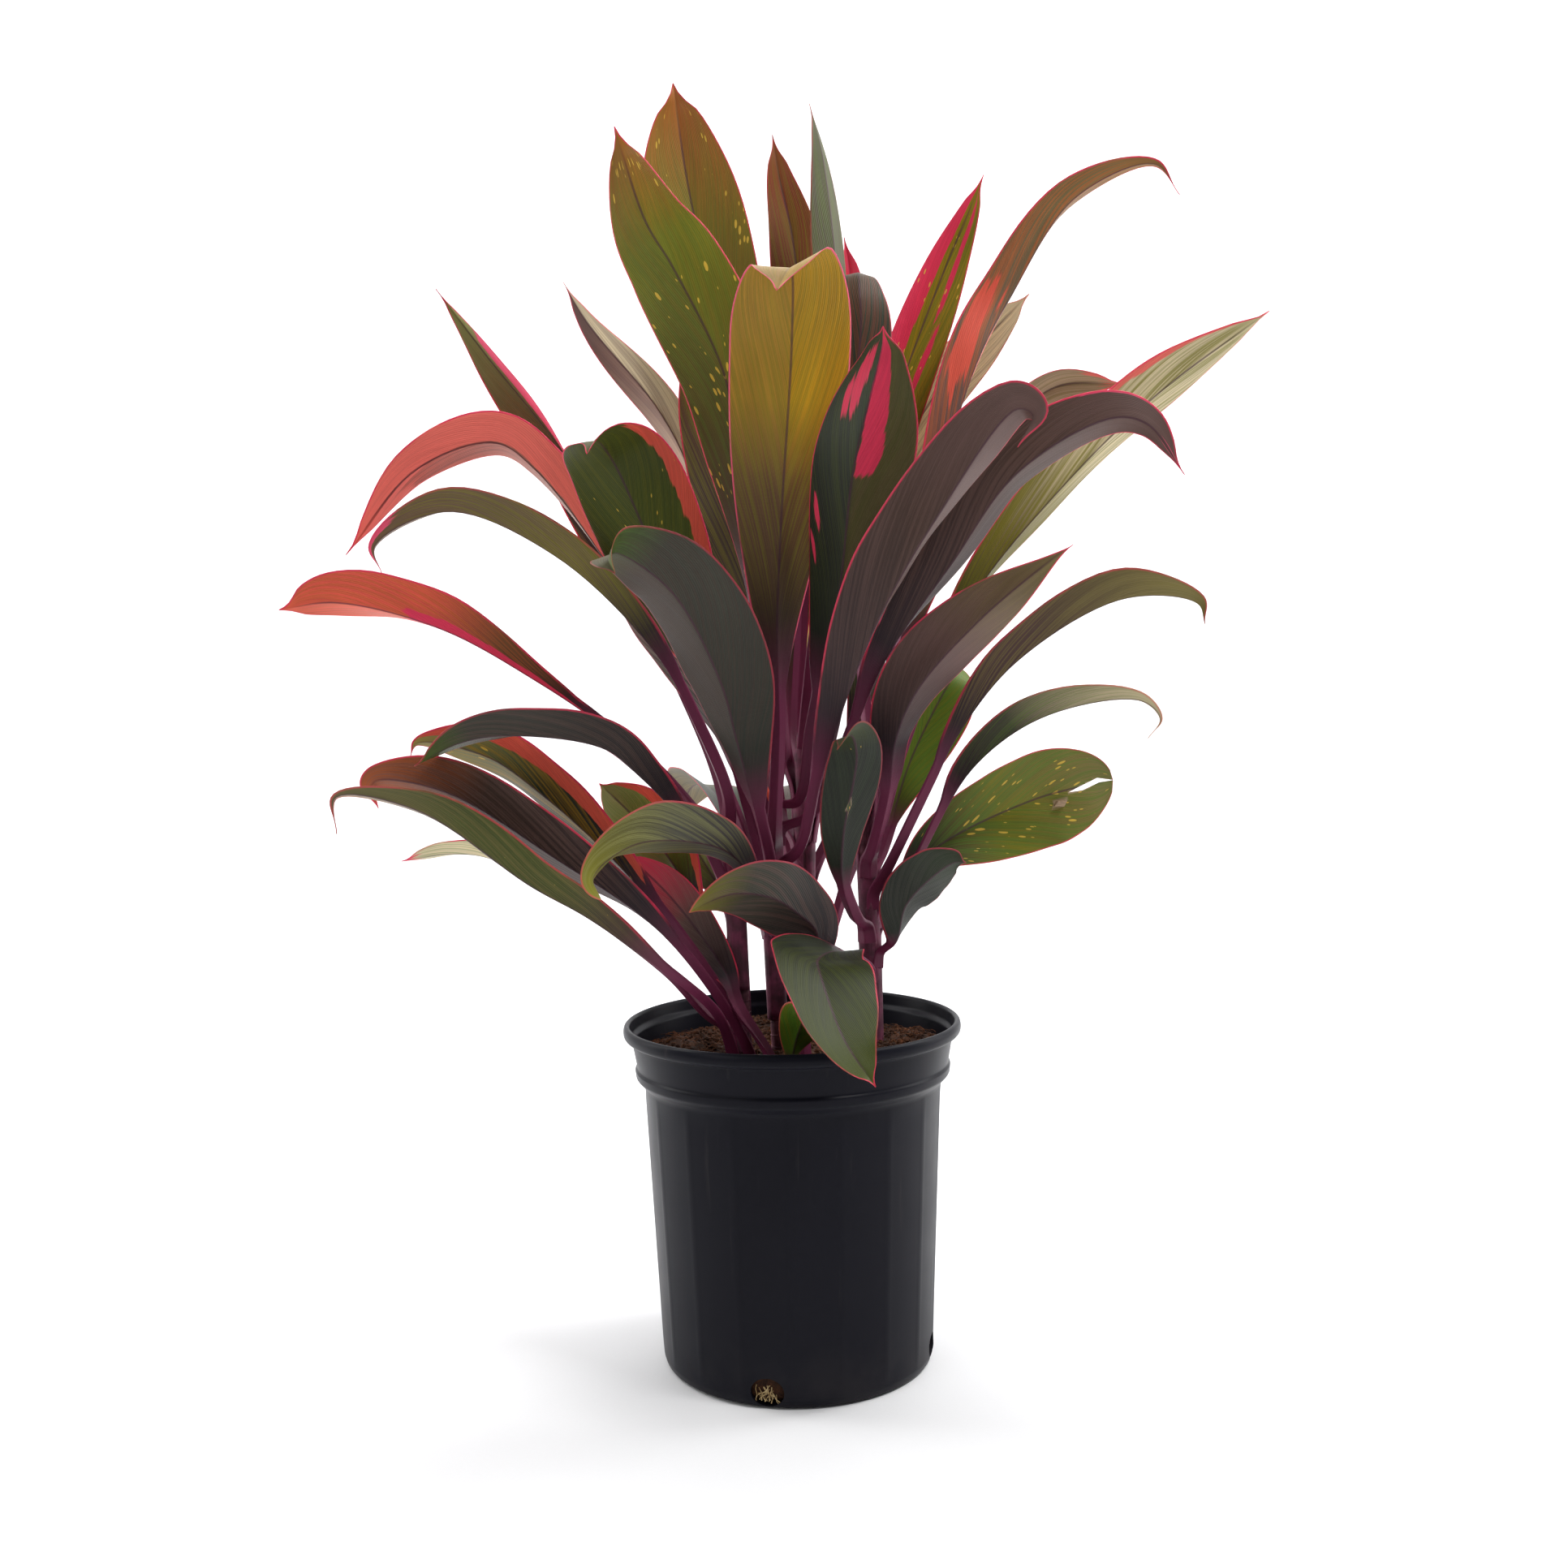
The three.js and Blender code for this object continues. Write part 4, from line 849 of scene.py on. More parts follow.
def grid_faces(rows, columns, wrap):
    """Quads of a grid of points; its last column joins the first where it wraps."""
    row, column = np.mgrid[0:rows - 1, 0:columns if wrap else columns - 1]
    after = (column + 1) % columns
    corners = (row * columns + column, row * columns + after,
               (row + 1) * columns + after, (row + 1) * columns + column)
    return np.stack(corners, axis=-1).reshape(-1, 4)


def lathe(profile, sides, swell=None, first_turn=0.0):
    """Points and faces of a profile of (radius, height) turned round the Z axis.

    The profile starts and ends near the axis. The swell is added to the radius, and depends on
    the turn, the height and the radius.
    """
    profile = np.asarray(profile, dtype=float)
    turn = first_turn + np.arange(sides) * math.tau / sides
    radius = np.repeat(profile[:, :1], sides, axis=1)
    height = np.repeat(profile[:, 1:], sides, axis=1)
    if swell is not None:
        radius = radius + swell(turn[None, :], height, radius)
    points = np.stack([radius * np.cos(turn), radius * np.sin(turn), height], axis=-1)
    return points, grid_faces(len(profile), sides, True)


def closed_lathe(name, points, faces, material):
    """A solid piece from the rings of a lathe, with one face over the first and the last."""
    rows, sides = points.shape[:2]
    first = range(sides - 1, -1, -1)
    last = range((rows - 1) * sides, rows * sides)
    return mesh_object(name, points.reshape(-1, 3), [*faces.tolist(), first, last], material)


def rounded(profile, steps=4, reach=1.2):
    """A profile whose inner corners are replaced by short curves, in the profile's own unit."""
    profile = np.asarray(profile, dtype=float)
    smooth = [profile[0]]
    for before, corner, after in zip(profile, profile[1:], profile[2:]):
        room = min(np.linalg.norm(corner - before), np.linalg.norm(after - corner))
        cut = min(reach, 0.45 * room)
        start = corner + (before - corner) / np.linalg.norm(before - corner) * cut
        end = corner + (after - corner) / np.linalg.norm(after - corner) * cut
        for t in np.linspace(0, 1, steps):
            smooth.append((1 - t) ** 2 * start + 2 * t * (1 - t) * corner + t ** 2 * end)
    smooth.append(profile[-1])
    return np.array(smooth)


def smoothstep(value, low, high):
    share = np.clip((value - low) / (high - low), 0, 1)
    return share * share * (3 - 2 * share)


def replace_node(piece, node):
    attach(piece, "root")
    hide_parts(node)


def add_piece(piece):
    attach(piece, "root")


# Geometry Nodes

FULL_TURN = 6.28


def new_tree(name, inputs):
    """A geometry tree with named inputs of the given socket types, and its first link."""
    tree = bpy.data.node_groups.new(name, "GeometryNodeTree")
    for label, kind in inputs.items():
        tree.interface.new_socket(name=label, in_out="INPUT", socket_type="NodeSocket" + kind)
    tree.interface.new_socket(name="Geometry", in_out="OUTPUT", socket_type="NodeSocketGeometry")
    source = tree.nodes.new("NodeGroupInput")
    links = {label: Link(tree, source.outputs[label]) for label in inputs}
    return tree, Link(tree), links


def end_tree(start, geometry, material):
    realized = start.make("GeometryNodeRealizeInstances", None, {0: geometry})
    painted = start.make("GeometryNodeSetMaterial", None, {"Geometry": realized, "Material": material})
    start.make("NodeGroupOutput", None, {0: painted})


def grown(name, source, tree, values):
    """The plain mesh that a tree grows on a source object, which is then removed."""
    modifier = source.modifiers.new(name, "NODES")
    modifier.node_group = tree
    for item in tree.interface.items_tree:
        if item.in_out == "INPUT" and item.name in values:
            modifier[item.identifier] = values[item.name]
    depsgraph = bpy.context.evaluated_depsgraph_get()
    mesh = bpy.data.meshes.new_from_object(
        source.evaluated_get(depsgraph), preserve_all_data_layers=True, depsgraph=depsgraph)
    mesh.name = name
    piece = bpy.data.objects.new(name, mesh)
    bpy.context.scene.collection.objects.link(piece)
    bpy.data.objects.remove(source)
    if not mesh.polygons:
        raise RuntimeError(f"{name} came out empty")
    return piece


def random_number(start, low, high, seed):
    return start.make("FunctionNodeRandomValue", {"data_type": "FLOAT"},
                      {2: low, 3: high, "Seed": seed}, 1)


def random_vector(start, low, high, seed):
    return start.make("FunctionNodeRandomValue", {"data_type": "FLOAT_VECTOR"},
                      {0: low, 1: high, "Seed": seed})


def scattered(start, links, seed):
    values = {"Mesh": links["Geometry"], "Density": links["Density"], "Seed": seed}
    return start.make("GeometryNodeDistributePointsOnFaces", None, values)


def instanced(start, points, piece, turn, size):
    values = {"Points": points, "Instance": piece, "Rotation": turn, "Scale": size}
    return start.make("GeometryNodeInstanceOnPoints", None, values)


def circle(start, sides, radius):
    values = {"Resolution": sides, "Radius": radius}
    return start.make("GeometryNodeCurvePrimitiveCircle", None, values)


def tube(start, curve, sides, radius, caps=False):
    values = {"Curve": curve, "Profile Curve": circle(start, sides, radius), "Fill Caps": caps}
    return start.make("GeometryNodeCurveToMesh", None, values)


def wobbled(start, geometry, scale, detail, amount):
    """Moves the points of a geometry by noise."""
    values = {"Vector": start.make("GeometryNodeInputPosition"), "Scale": scale, "Detail": detail}
    noise = start.make("ShaderNodeTexNoise", None, values, 1)
    centred = start.make("ShaderNodeVectorMath", {"operation": "SUBTRACT"},
                         {0: noise, 1: (0.5, 0.5, 0.5)})
    values = {"Geometry": geometry, "Offset": start.dim(centred, amount)}
    return start.make("GeometryNodeSetPosition", None, values)


def crumb_tree():
    """Lumps of peat scattered over a surface and sunk a little into it."""
    tree, start, links = new_tree("Crumbs", {
        "Geometry": "Geometry", "Density": "Float", "Size": "Float", "Material": "Material"})
    points = scattered(start, links, seed=3)
    lump = start.make("GeometryNodeMeshIcoSphere", None, {"Radius": links["Size"], "Subdivisions": 2})
    size = random_number(start, 0.25, 1.25, seed=5)
    turn = random_vector(start, (0, 0, 0), (FULL_TURN, FULL_TURN, FULL_TURN), seed=7)
    spread = instanced(start, points, lump, turn, size)
    solid = start.make("GeometryNodeRealizeInstances", None, {0: spread})
    end_tree(start, wobbled(start, solid, 420, 2, links["Size"] * 2.2), links["Material"])
    return tree


def fibre_tree():
    """Short bent threads scattered over a surface."""
    tree, start, links = new_tree("Fibres", {
        "Geometry": "Geometry", "Density": "Float", "Length": "Float", "Material": "Material"})
    points = scattered(start, links, seed=11)
    length = links["Length"]
    thread = start.make("GeometryNodeCurveQuadraticBezier", None, {
        "Resolution": 6, "Start": start.vector(length * -0.5, 0, 0),
        "Middle": start.vector(0, length * 0.35, length * 0.4),
        "End": start.vector(length * 0.5, 0, length * 0.05)})
    turn = random_vector(start, (-0.5, -0.4, 0), (0.5, 0.4, FULL_TURN), seed=13)
    size = random_number(start, 0.35, 1.3, seed=17)
    spread = instanced(start, points, tube(start, thread, 3, 0.22 * MM), turn, size)
    end_tree(start, spread, links["Material"])
    return tree


def scar_tree():
    """Low rings, one above the other, where old leaves fell from a cane."""
    tree, start, links = new_tree("Leaf Scars", {
        "Geometry": "Geometry", "Foot": "Vector", "Tip": "Vector", "Spacing": "Float",
        "Radius": "Float", "Material": "Material"})
    line = start.make("GeometryNodeCurvePrimitiveLine", None, {
        "Start": links["Foot"], "End": links["Tip"]})
    stops = start.make("GeometryNodeResampleCurve", {"mode": "LENGTH"}, {
        "Curve": line, "Length": links["Spacing"]})
    scar = tube(start, circle(start, 20, links["Radius"]), 5, 0.45 * MM)
    turn = random_vector(start, (-0.12, -0.12, 0), (0.12, 0.12, FULL_TURN), seed=19)
    size = random_number(start, 0.97, 1.04, seed=23)
    end_tree(start, instanced(start, stops, scar, turn, size), links["Material"])
    return tree


def strand_tree():
    """Thin roots that wander along the edges they grow on."""
    tree, start, links = new_tree("Strands", {
        "Geometry": "Geometry", "Radius": "Float", "Wander": "Float", "Material": "Material"})
    curve = start.make("GeometryNodeMeshToCurve", None, {0: links["Geometry"]})
    fine = start.make("GeometryNodeResampleCurve", {"mode": "COUNT"}, {"Curve": curve, "Count": 14})
    bent = wobbled(start, fine, 160, 1, links["Wander"])
    end_tree(start, tube(start, bent, 6, links["Radius"], caps=True), links["Material"])
    return tree


# Pot

def pot_profile():
    """The wall from the middle of the base, up the outside, over the lip and down the inside."""
    outside = [
        (AXIS_GAP, 0), (BASE_RADIUS - 7, 0), (BASE_RADIUS - 1.5, 2), (BASE_RADIUS, FOOT_CURVE),
        (BODY_TOP_RADIUS, BODY_TOP), (BODY_TOP_RADIUS + 1, BODY_TOP + 2.5),
        (COLLAR_RADIUS - 4.5, COLLAR_BOTTOM - 4), (COLLAR_RADIUS - 2.2, COLLAR_BOTTOM - 1.5),
        (COLLAR_RADIUS - 1.6, COLLAR_BOTTOM + 4), (COLLAR_RADIUS - 2.2, COLLAR_BOTTOM + 5),
        (COLLAR_RADIUS - 3.1, COLLAR_BOTTOM + 6.2), (COLLAR_RADIUS - 2.9, COLLAR_BOTTOM + 8),
        (COLLAR_RADIUS + 0.3, POT_HEIGHT - 13.5), (COLLAR_RADIUS + 1, POT_HEIGHT - 11.5),
        (RIM_RADIUS - 1.8, POT_HEIGHT - 10.5), (RIM_RADIUS - 0.3, POT_HEIGHT - 8.5),
        (RIM_RADIUS, POT_HEIGHT - 5), (RIM_RADIUS - 0.8, POT_HEIGHT - 1.5),
        (RIM_RADIUS - 3, POT_HEIGHT)]
    inside = [
        (RIM_RADIUS - 5, POT_HEIGHT - 1.5), (COLLAR_RADIUS + 1, POT_HEIGHT - 10),
        (COLLAR_RADIUS - 2, POT_HEIGHT - 13), (COLLAR_RADIUS - 4.5, COLLAR_BOTTOM + 6),
        (BODY_TOP_RADIUS - WALL, BODY_TOP), (BASE_RADIUS - WALL, 8),
        (BASE_RADIUS - WALL - 3, FLOOR), (AXIS_GAP, FLOOR)]
    profile = rounded(outside + inside)
    heights = np.linspace(FOOT_CURVE + 12, BODY_TOP - 12, 24)
    wall = np.stack([BASE_RADIUS + (heights - FOOT_CURVE) * BODY_SLOPE, heights], axis=1)
    cut = next(i for i, point in enumerate(profile) if point[1] > heights[-1])
    low = [p for p in profile[:cut] if p[1] < heights[0] and p[0] <= BASE_RADIUS + 1]
    return np.array([*low, *wall, *profile[cut:]]) * MM


def make_pot(settings):
    def panels(turn, height, radius):
        """The body is flat between low upright ribs, on its outside only."""
        phase = ((turn - settings.panel_turn) * settings.panels / math.tau) % 1.0
        flat = 4 * phase * (1 - phase)
        rib = np.exp(-((np.minimum(phase, 1 - phase) / 0.045) ** 2))
        tall = smoothstep(height, 10 * MM, 18 * MM)
        tall = tall * (1 - smoothstep(height, (BODY_TOP - 5) * MM, (BODY_TOP + 1) * MM))
        middle = BASE_RADIUS * MM + (height - FOOT_CURVE * MM) * BODY_SLOPE
        outer = radius > middle - 1.2 * MM
        return settings.panel_depth * (0.3 * rib - flat) * tall * outer

    points, faces = lathe(pot_profile(), settings.sides, panels, settings.panel_turn)
    pot = closed_lathe("nursery_pot", points, faces, pot_material(settings))
    for i in range(DRAIN_COUNT):
        cut_drain(pot, math.radians(DRAIN_FIRST_TURN + i * 360 / DRAIN_COUNT))
    pot.data.shade_smooth()
    pot.data.set_sharp_from_angle(angle=math.radians(SHARP_FROM))
    replace_node(pot, "pot")


def cut_drain(pot, turn):
    """Cuts an oval hole through the foot of the wall."""
    bpy.ops.mesh.primitive_cylinder_add(vertices=40, radius=0.5, depth=24 * MM)
    cutter = bpy.context.object
    shape = (Matrix.Rotation(turn, 4, "Z")
             @ Matrix.Translation(((BASE_RADIUS - 2) * MM, 0, DRAIN_MIDDLE * MM))
             @ Matrix.Diagonal((1, DRAIN_WIDTH * MM, DRAIN_RISE * MM, 1))
             @ Matrix.Rotation(math.pi / 2, 4, "Y"))
    cutter.data.transform(shape)
    subtract(pot, cutter)


def subtract(piece, cutter):
    """Cuts one mesh out of another and removes the cutter."""
    modifier = piece.modifiers.new("cut", "BOOLEAN")
    modifier.operation = "DIFFERENCE"
    modifier.solver = "EXACT"
    modifier.object = cutter
    depsgraph = bpy.context.evaluated_depsgraph_get()
    mesh = bpy.data.meshes.new_from_object(
        piece.evaluated_get(depsgraph), preserve_all_data_layers=True, depsgraph=depsgraph)
    piece.modifiers.clear()
    piece.data = mesh
    bpy.data.objects.remove(cutter)


# Soil

def soil_relief(x, y):
    """Mounds and hollows of the soil over its mean level, in millimetres."""
    mounds = sum(height * np.exp(-((x - middle_x) ** 2 + (y - middle_y) ** 2) / spread)
                 for middle_x, middle_y, height, spread in MOUNDS)
    lumps = 1.3 * np.sin(x * 0.13 + 1) * np.cos(y * 0.15)
    return mounds + lumps


def fine_relief(x, y, rng):
    """Small clods: a sum of waves in random directions, sharpened at the top."""
    total = np.zeros_like(x)
    for _ in range(CLOD_WAVES):
        turn = rng.uniform(0, math.tau)
        pitch = rng.uniform(0.25, 0.9)
        phase = rng.uniform(0, math.tau)
        total += np.sin((x * math.cos(turn) + y * math.sin(turn)) * pitch + phase) / (1 + pitch)
    return 0.55 * np.abs(total) - 0.8


def make_soil(settings):
    top_radius = BODY_TOP_RADIUS - WALL - SOIL_GAP
    inner = BASE_RADIUS - WALL - SOIL_GAP
    edge = COLLAR_RADIUS - 6
    rings = np.linspace(edge - 5, AXIS_GAP, SOIL_RINGS)
    profile = [(AXIS_GAP, FLOOR + SOIL_GAP), (inner - 3.5, FLOOR + SOIL_GAP), (inner - 0.5, 9),
               (top_radius - 0.5, BODY_TOP), (edge, SOIL_TOP - 10), (edge, SOIL_TOP - 3)]
    profile += [(radius, SOIL_TOP) for radius in rings]
    points, faces = lathe(np.array(profile) * MM, SOIL_SIDES)
    top = points[-SOIL_RINGS:]
    x, y = top[..., 0] / MM, top[..., 1] / MM
    clods = smoothstep(np.hypot(x, y), edge + 1, edge - 16)
    clods = clods * fine_relief(x, y, np.random.default_rng(RELIEF_SEED))
    top[..., 2] += (soil_relief(x, y) + clods) * MM
    peat = soil_material(settings, "potting mix", 0.45)
    replace_node(closed_lathe("potting_mix", points, faces, peat), "soil")

    bed = (top.reshape(-1, 3), grid_faces(SOIL_RINGS, SOIL_SIDES, True), peat)
    litter = {
        "soil_crumbs": (crumb_tree(), {
            "Density": settings.crumb_density, "Size": settings.crumb_size,
            "Material": soil_material(settings, "peat crumbs", 0.7)}),
        "coir_fibres": (fibre_tree(), {
            "Density": settings.fibre_density, "Length": settings.fibre_length,
            "Material": soil_material(settings, "coir fibre", 1.5)}),
    }
    for name, (tree, values) in litter.items():
        add_piece(grown(name, mesh_object(f"{name}_bed", *bed), tree, values))


# Canes

def cane_point(cane, height):
    foot, tip = (np.array(end, dtype=float) for end in CANES[cane])
    return foot + (tip - foot) * (height - foot[2]) / (tip[2] - foot[2])


def make_canes():
    material = cane_material("cane bark", shade(0x4C2432), shade(0x784250), shade(0x2E181E))
    tree = scar_tree()
    for name, (foot, tip) in CANES.items():
        length = tip[2] - foot[2]
        heights = np.linspace(0, length, CANE_ROWS)
        closing = np.sqrt(np.clip((length - heights) / CANE_TIP, 0, 1))
        radii = (BARK_RADIUS + 0.25 * np.sin(heights * 0.7)) * closing
        profile = [(AXIS_GAP, 0)] + [(max(r, AXIS_GAP), h) for r, h in zip(radii, heights)]
        points, faces = lathe(np.array(profile), CANE_SIDES)
        middles = np.array([cane_point(name, foot[2] + row[0, 2]) for row in points])
        points[..., :2] += middles[:, None, :2]
        points[..., 2] += foot[2]
        cane = closed_lathe(f"{name}_stem", points * MM, faces, material)
        replace_node(cane, f"{name}_cane")
        seedling = mesh_object(f"{name}_line", [foot, tip, foot], [(0, 1, 2)], material)
        rings = grown(f"{name}_scars", seedling, tree, {
            "Foot": Vector(cane_point(name, SOIL_TOP + 4) * MM),
            "Tip": Vector(cane_point(name, tip[2] - 16) * MM),
            "Spacing": SCAR_SPACING * MM, "Radius": BARK_RADIUS * MM, "Material": material})
        rings.data.shade_smooth()
        add_piece(rings)


def sheath_shell(cane, leaf, rank):
    """Outer and inner points of the sheath that wraps a cane under one of its leaves."""
    lowest = max(leaf.height - SHEATH_RUN, SOIL_TOP + 2)
    heights = np.linspace(lowest, leaf.height + 7, SHEATH_ROWS)
    turns = np.linspace(-SHEATH_WRAP, SHEATH_WRAP, SHEATH_COLUMNS)
    rim = np.cos(np.radians(turns) / SHEATH_WRAP * 90)[None, :]
    rising = ((heights - heights[0]) / (heights[-1] - heights[0]))[:, None]
    outer = CANE_RADIUS + 0.3 + (1.3 - 0.06 * rank + 1.3 * rising) * rim ** 0.7
    pleats = 0.18 * np.sin(np.radians(turns) * 9)[None, :] * rim
    sloped = heights[:, None] - 14 * (1 - rim) * rising
    angle = np.radians(leaf.turn + turns)[None, :] + 0 * sloped
    line = np.array([cane_point(cane, h) for h in sloped.ravel()]).reshape(*sloped.shape, 3)
    out = np.stack([np.cos(angle), np.sin(angle), 0 * angle], axis=-1)
    return line + out * (outer + pleats)[..., None], line + out * (CANE_RADIUS - 1.2)


def shell_faces(rows, columns):
    """Faces of a closed shell between an outer grid of points and an inner one."""
    outer = grid_faces(rows, columns, False)
    border = list(range(columns))
    border += [row * columns + columns - 1 for row in range(1, rows)]
    border += [(rows - 1) * columns + i for i in range(columns - 2, -1, -1)]
    border += [row * columns for row in range(rows - 2, 0, -1)]
    border = np.array(border)
    after = np.roll(border, -1)
    count = rows * columns
    sides = np.stack([after, border, border + count, after + count], axis=1)
    return np.concatenate([outer, outer[:, ::-1] + count, sides])


def make_sheaths():
    """The clasping feet of the petioles, one over the other up each cane."""
    material = cane_material("petiole sheath", shade(0x4A1A2E), shade(0x7C3050), shade(0x2A121C))
    for cane in CANES:
        shells = [sheath_shell(cane, leaf, rank) for rank, leaf in enumerate(LEAVES_BY_CANE[cane])]
        faces = [shell_faces(SHEATH_ROWS, SHEATH_COLUMNS) + rank * 2 * SHEATH_ROWS * SHEATH_COLUMNS
                 for rank in range(len(shells))]
        piece = mesh_object(
            f"{cane}_sheaths", np.reshape(shells, (-1, 3)) * MM, np.concatenate(faces), material)
        add_piece(piece)


# Leaves

ACROSS = np.array([0, 0.05, 0.12, 0.22, 0.34, 0.47, 0.6, 0.72, 0.83, 0.92, 0.975, 1.0])
COLUMNS = np.concatenate([-ACROSS[:0:-1], ACROSS])


def midrib_points(leaf):
    """The clasp at the cane, or the foot in the soil, and then the points of the free midrib."""
    if leaf.stand:
        x, y = leaf.stand
        foot = [(x, y, SOIL_TOP - LEAF_HOLE_DEPTH + SEAT_GAP), (x, y, SOIL_TOP + 3)]
    else:
        cane = leaf.name.split("_")[0]
        turn = math.radians(leaf.turn)
        out = np.array([math.cos(turn), math.sin(turn), 0])
        clasp = CANE_RADIUS + CLASP_GAP
        foot = [cane_point(cane, leaf.height) + out * clasp,
                cane_point(cane, leaf.height + CLASP_LENGTH) + out * (clasp + CLASP_LEAN)]
    return np.array([*foot, *leaf.midrib], dtype=float)


def catmull_rom(points, steps):
    """Places and directions on a centripetal Catmull-Rom curve, evenly spaced in its parameter."""
    ends = np.vstack([2 * points[0] - points[1], points, 2 * points[-1] - points[-2]])
    gaps = np.sqrt(np.linalg.norm(np.diff(ends, axis=0), axis=1))[:, None]
    place = np.linspace(0, len(points) - 1, steps)
    start = np.minimum(place.astype(int), len(points) - 2)
    t = (place - start)[:, None]
    x0, x1, x2, x3 = (ends[start + i] for i in range(4))
    d0, d1, d2 = (gaps[start + i] for i in range(3))
    t1 = ((x1 - x0) / d0 - (x2 - x0) / (d0 + d1) + (x2 - x1) / d1) * d1
    t2 = ((x2 - x1) / d1 - (x3 - x1) / (d1 + d2) + (x3 - x2) / d2) * d1
    c2 = -3 * x1 + 3 * x2 - 2 * t1 - t2
    c3 = 2 * x1 - 2 * x2 + t1 + t2
    direction = t1 + 2 * c2 * t + 3 * c3 * t * t
    return x1 + t1 * t + c2 * t * t + c3 * t ** 3, unit(direction)


def unit(vectors):
    return vectors / np.linalg.norm(vectors, axis=-1, keepdims=True)


def half_widths(leaf, share):
    """Half the width of the leaf at shares of its length; its last part is a thin drip tip."""
    sheath = SHEATH_HALF_WIDTH + (PETIOLE_HALF_WIDTH - SHEATH_HALF_WIDTH) * smoothstep(
        share, 0, SHEATH_SHARE)
    blade_share = 1 - leaf.petiole
    along = np.clip((share - leaf.petiole) / blade_share, 0, 1)

    # The blade begins below the petiole's end and opens up to its widest place
    opening = (along * blade_share + BLADE_RUNS_DOWN) / (leaf.widest * blade_share + BLADE_RUNS_DOWN)
    early = np.clip((share - leaf.petiole + BLADE_RUNS_DOWN) / BLADE_RUNS_DOWN, 0, 1)
    opening = np.where(share < leaf.petiole, opening * early, opening)
    rising = np.sin(math.pi / 2 * np.clip(opening, 0, 1)) ** leaf.waist

    # From there it narrows to the tip
    late = np.clip((along - leaf.widest) / (1 - leaf.widest), 0, 1)
    falling = np.cos(math.pi / 2 * late ** 1.15) ** (0.9 * leaf.tail)
    falling = falling * (1 - leaf.drip * smoothstep(along, DRIP_FROM, DRIP_TO))
    blade = leaf.width / 2 * np.where(along < leaf.widest, rising, falling)
    stalk = PETIOLE_SWELL * sheath * (1 - smoothstep(along, 0.35, 0.8))
    return np.maximum(np.maximum(blade, stalk), TIP_HALF_WIDTH)


def frames_along(leaf, centres, tangents):
    """The direction across the leaf at each row, carried along the midrib without turning."""
    middle = centres[len(centres) * (MODEL_STATIONS // 2) // MODEL_STATIONS]
    turn = math.radians(leaf.turn)
    if leaf.stand:
        turn = math.atan2(middle[1] - centres[0][1], middle[0] - centres[0][0])
    side = np.array([-math.sin(turn), math.cos(turn), 0])
    sides = []
    for tangent in tangents:
        side = side - tangent * side.dot(tangent)
        side = side / np.linalg.norm(side)
        sides.append(side)
    return np.array(sides)


def leaf_rows(leaf, index, settings):
    """The upper and the lower points of a leaf, and where each lies on it."""
    rows = MODEL_STATIONS * settings.rows_per_station + 1
    centres, tangents = catmull_rom(midrib_points(leaf), rows)
    reach = np.concatenate([[0], np.cumsum(np.linalg.norm(np.diff(centres, axis=0), axis=1))])
    share = reach / reach[-1]
    blade = np.clip((share - leaf.petiole) / (1 - leaf.petiole), 0, 1)
    roll = np.radians(leaf.roll * smoothstep(share, 0.05, 0.6) + leaf.twist * blade ** 2)[:, None]
    sides = frames_along(leaf, centres, tangents)
    across = sides * np.cos(roll) + np.cross(tangents, sides) * np.sin(roll)
    up = np.cross(tangents, across)
    half = half_widths(leaf, share)[:, None]
    v = COLUMNS[None, :]
    share, blade = share[:, None], blade[:, None]

    # The section: a channel in the petiole, and a fold, waves and a groove in the blade
    depth = CHANNEL_DEPTH + (BLADE_DEPTH - CHANNEL_DEPTH) * smoothstep(share, 0.1, leaf.petiole + 0.2)
    rest = np.arctan(depth)
    closing = smoothstep(blade, -0.05, 0.15) * (1 - 0.6 * smoothstep(blade, 0.5, 0.95))
    angle = rest + math.radians(leaf.fold) * closing
    wave = EDGE_WAVE * leaf.wave * blade * np.sin(share * 19 + index * 2.1 + np.sign(v) * 1.3)
    ripple = RIPPLE * blade * np.sin(share * 47 + index * 1.7 + np.sign(v) * 2.2) * v ** 4
    soft = np.sqrt(v * v + 0.004) - 0.063
    rise = half * (np.sin(angle) / np.cos(rest) * soft + wave * v * v + ripple)
    reach_out = v * half * np.cos(angle) / np.cos(rest)
    groove = GROOVE_DEPTH * np.exp(-(v * half / GROOVE_REACH) ** 2) * blade ** 0.3

    # The thickness, with a keel that fades along the midrib and a thin rim
    thin = settings.blade / MM
    slim = smoothstep(share, 0.2, leaf.petiole + 0.3)
    thick = (PETIOLE_THICKNESS + (thin - PETIOLE_THICKNESS) * slim) * (1 - 0.5 * np.abs(v))
    keel = KEEL_DEPTH * (1 - blade) * np.exp(-(v * half / KEEL_REACH) ** 2) * slim
    thick = np.maximum(thick + keel, thin) * np.where(np.abs(v) > 0.99, RIM_THINNING, 1)

    centre = centres[:, None, :] + across[:, None, :] * reach_out[..., None]
    top = centre + up[:, None, :] * (rise - groove)[..., None]
    bottom = centre + up[:, None, :] * (rise - thick)[..., None]
    place = {"across": v, "blade": blade, "share": share, "half": half, "reach": reach[:, None]}
    return top, bottom, {key: np.broadcast_to(value, top.shape[:2]) for key, value in place.items()}


def mixed_stops(stops, place):
    """Colours between named stops at places along a leaf."""
    where = [stop[0] for stop in stops]
    colours = np.array([PIGMENTS[stop[1]] for stop in stops])
    return np.stack([np.interp(place, where, colours[:, i]) for i in range(3)], axis=-1)


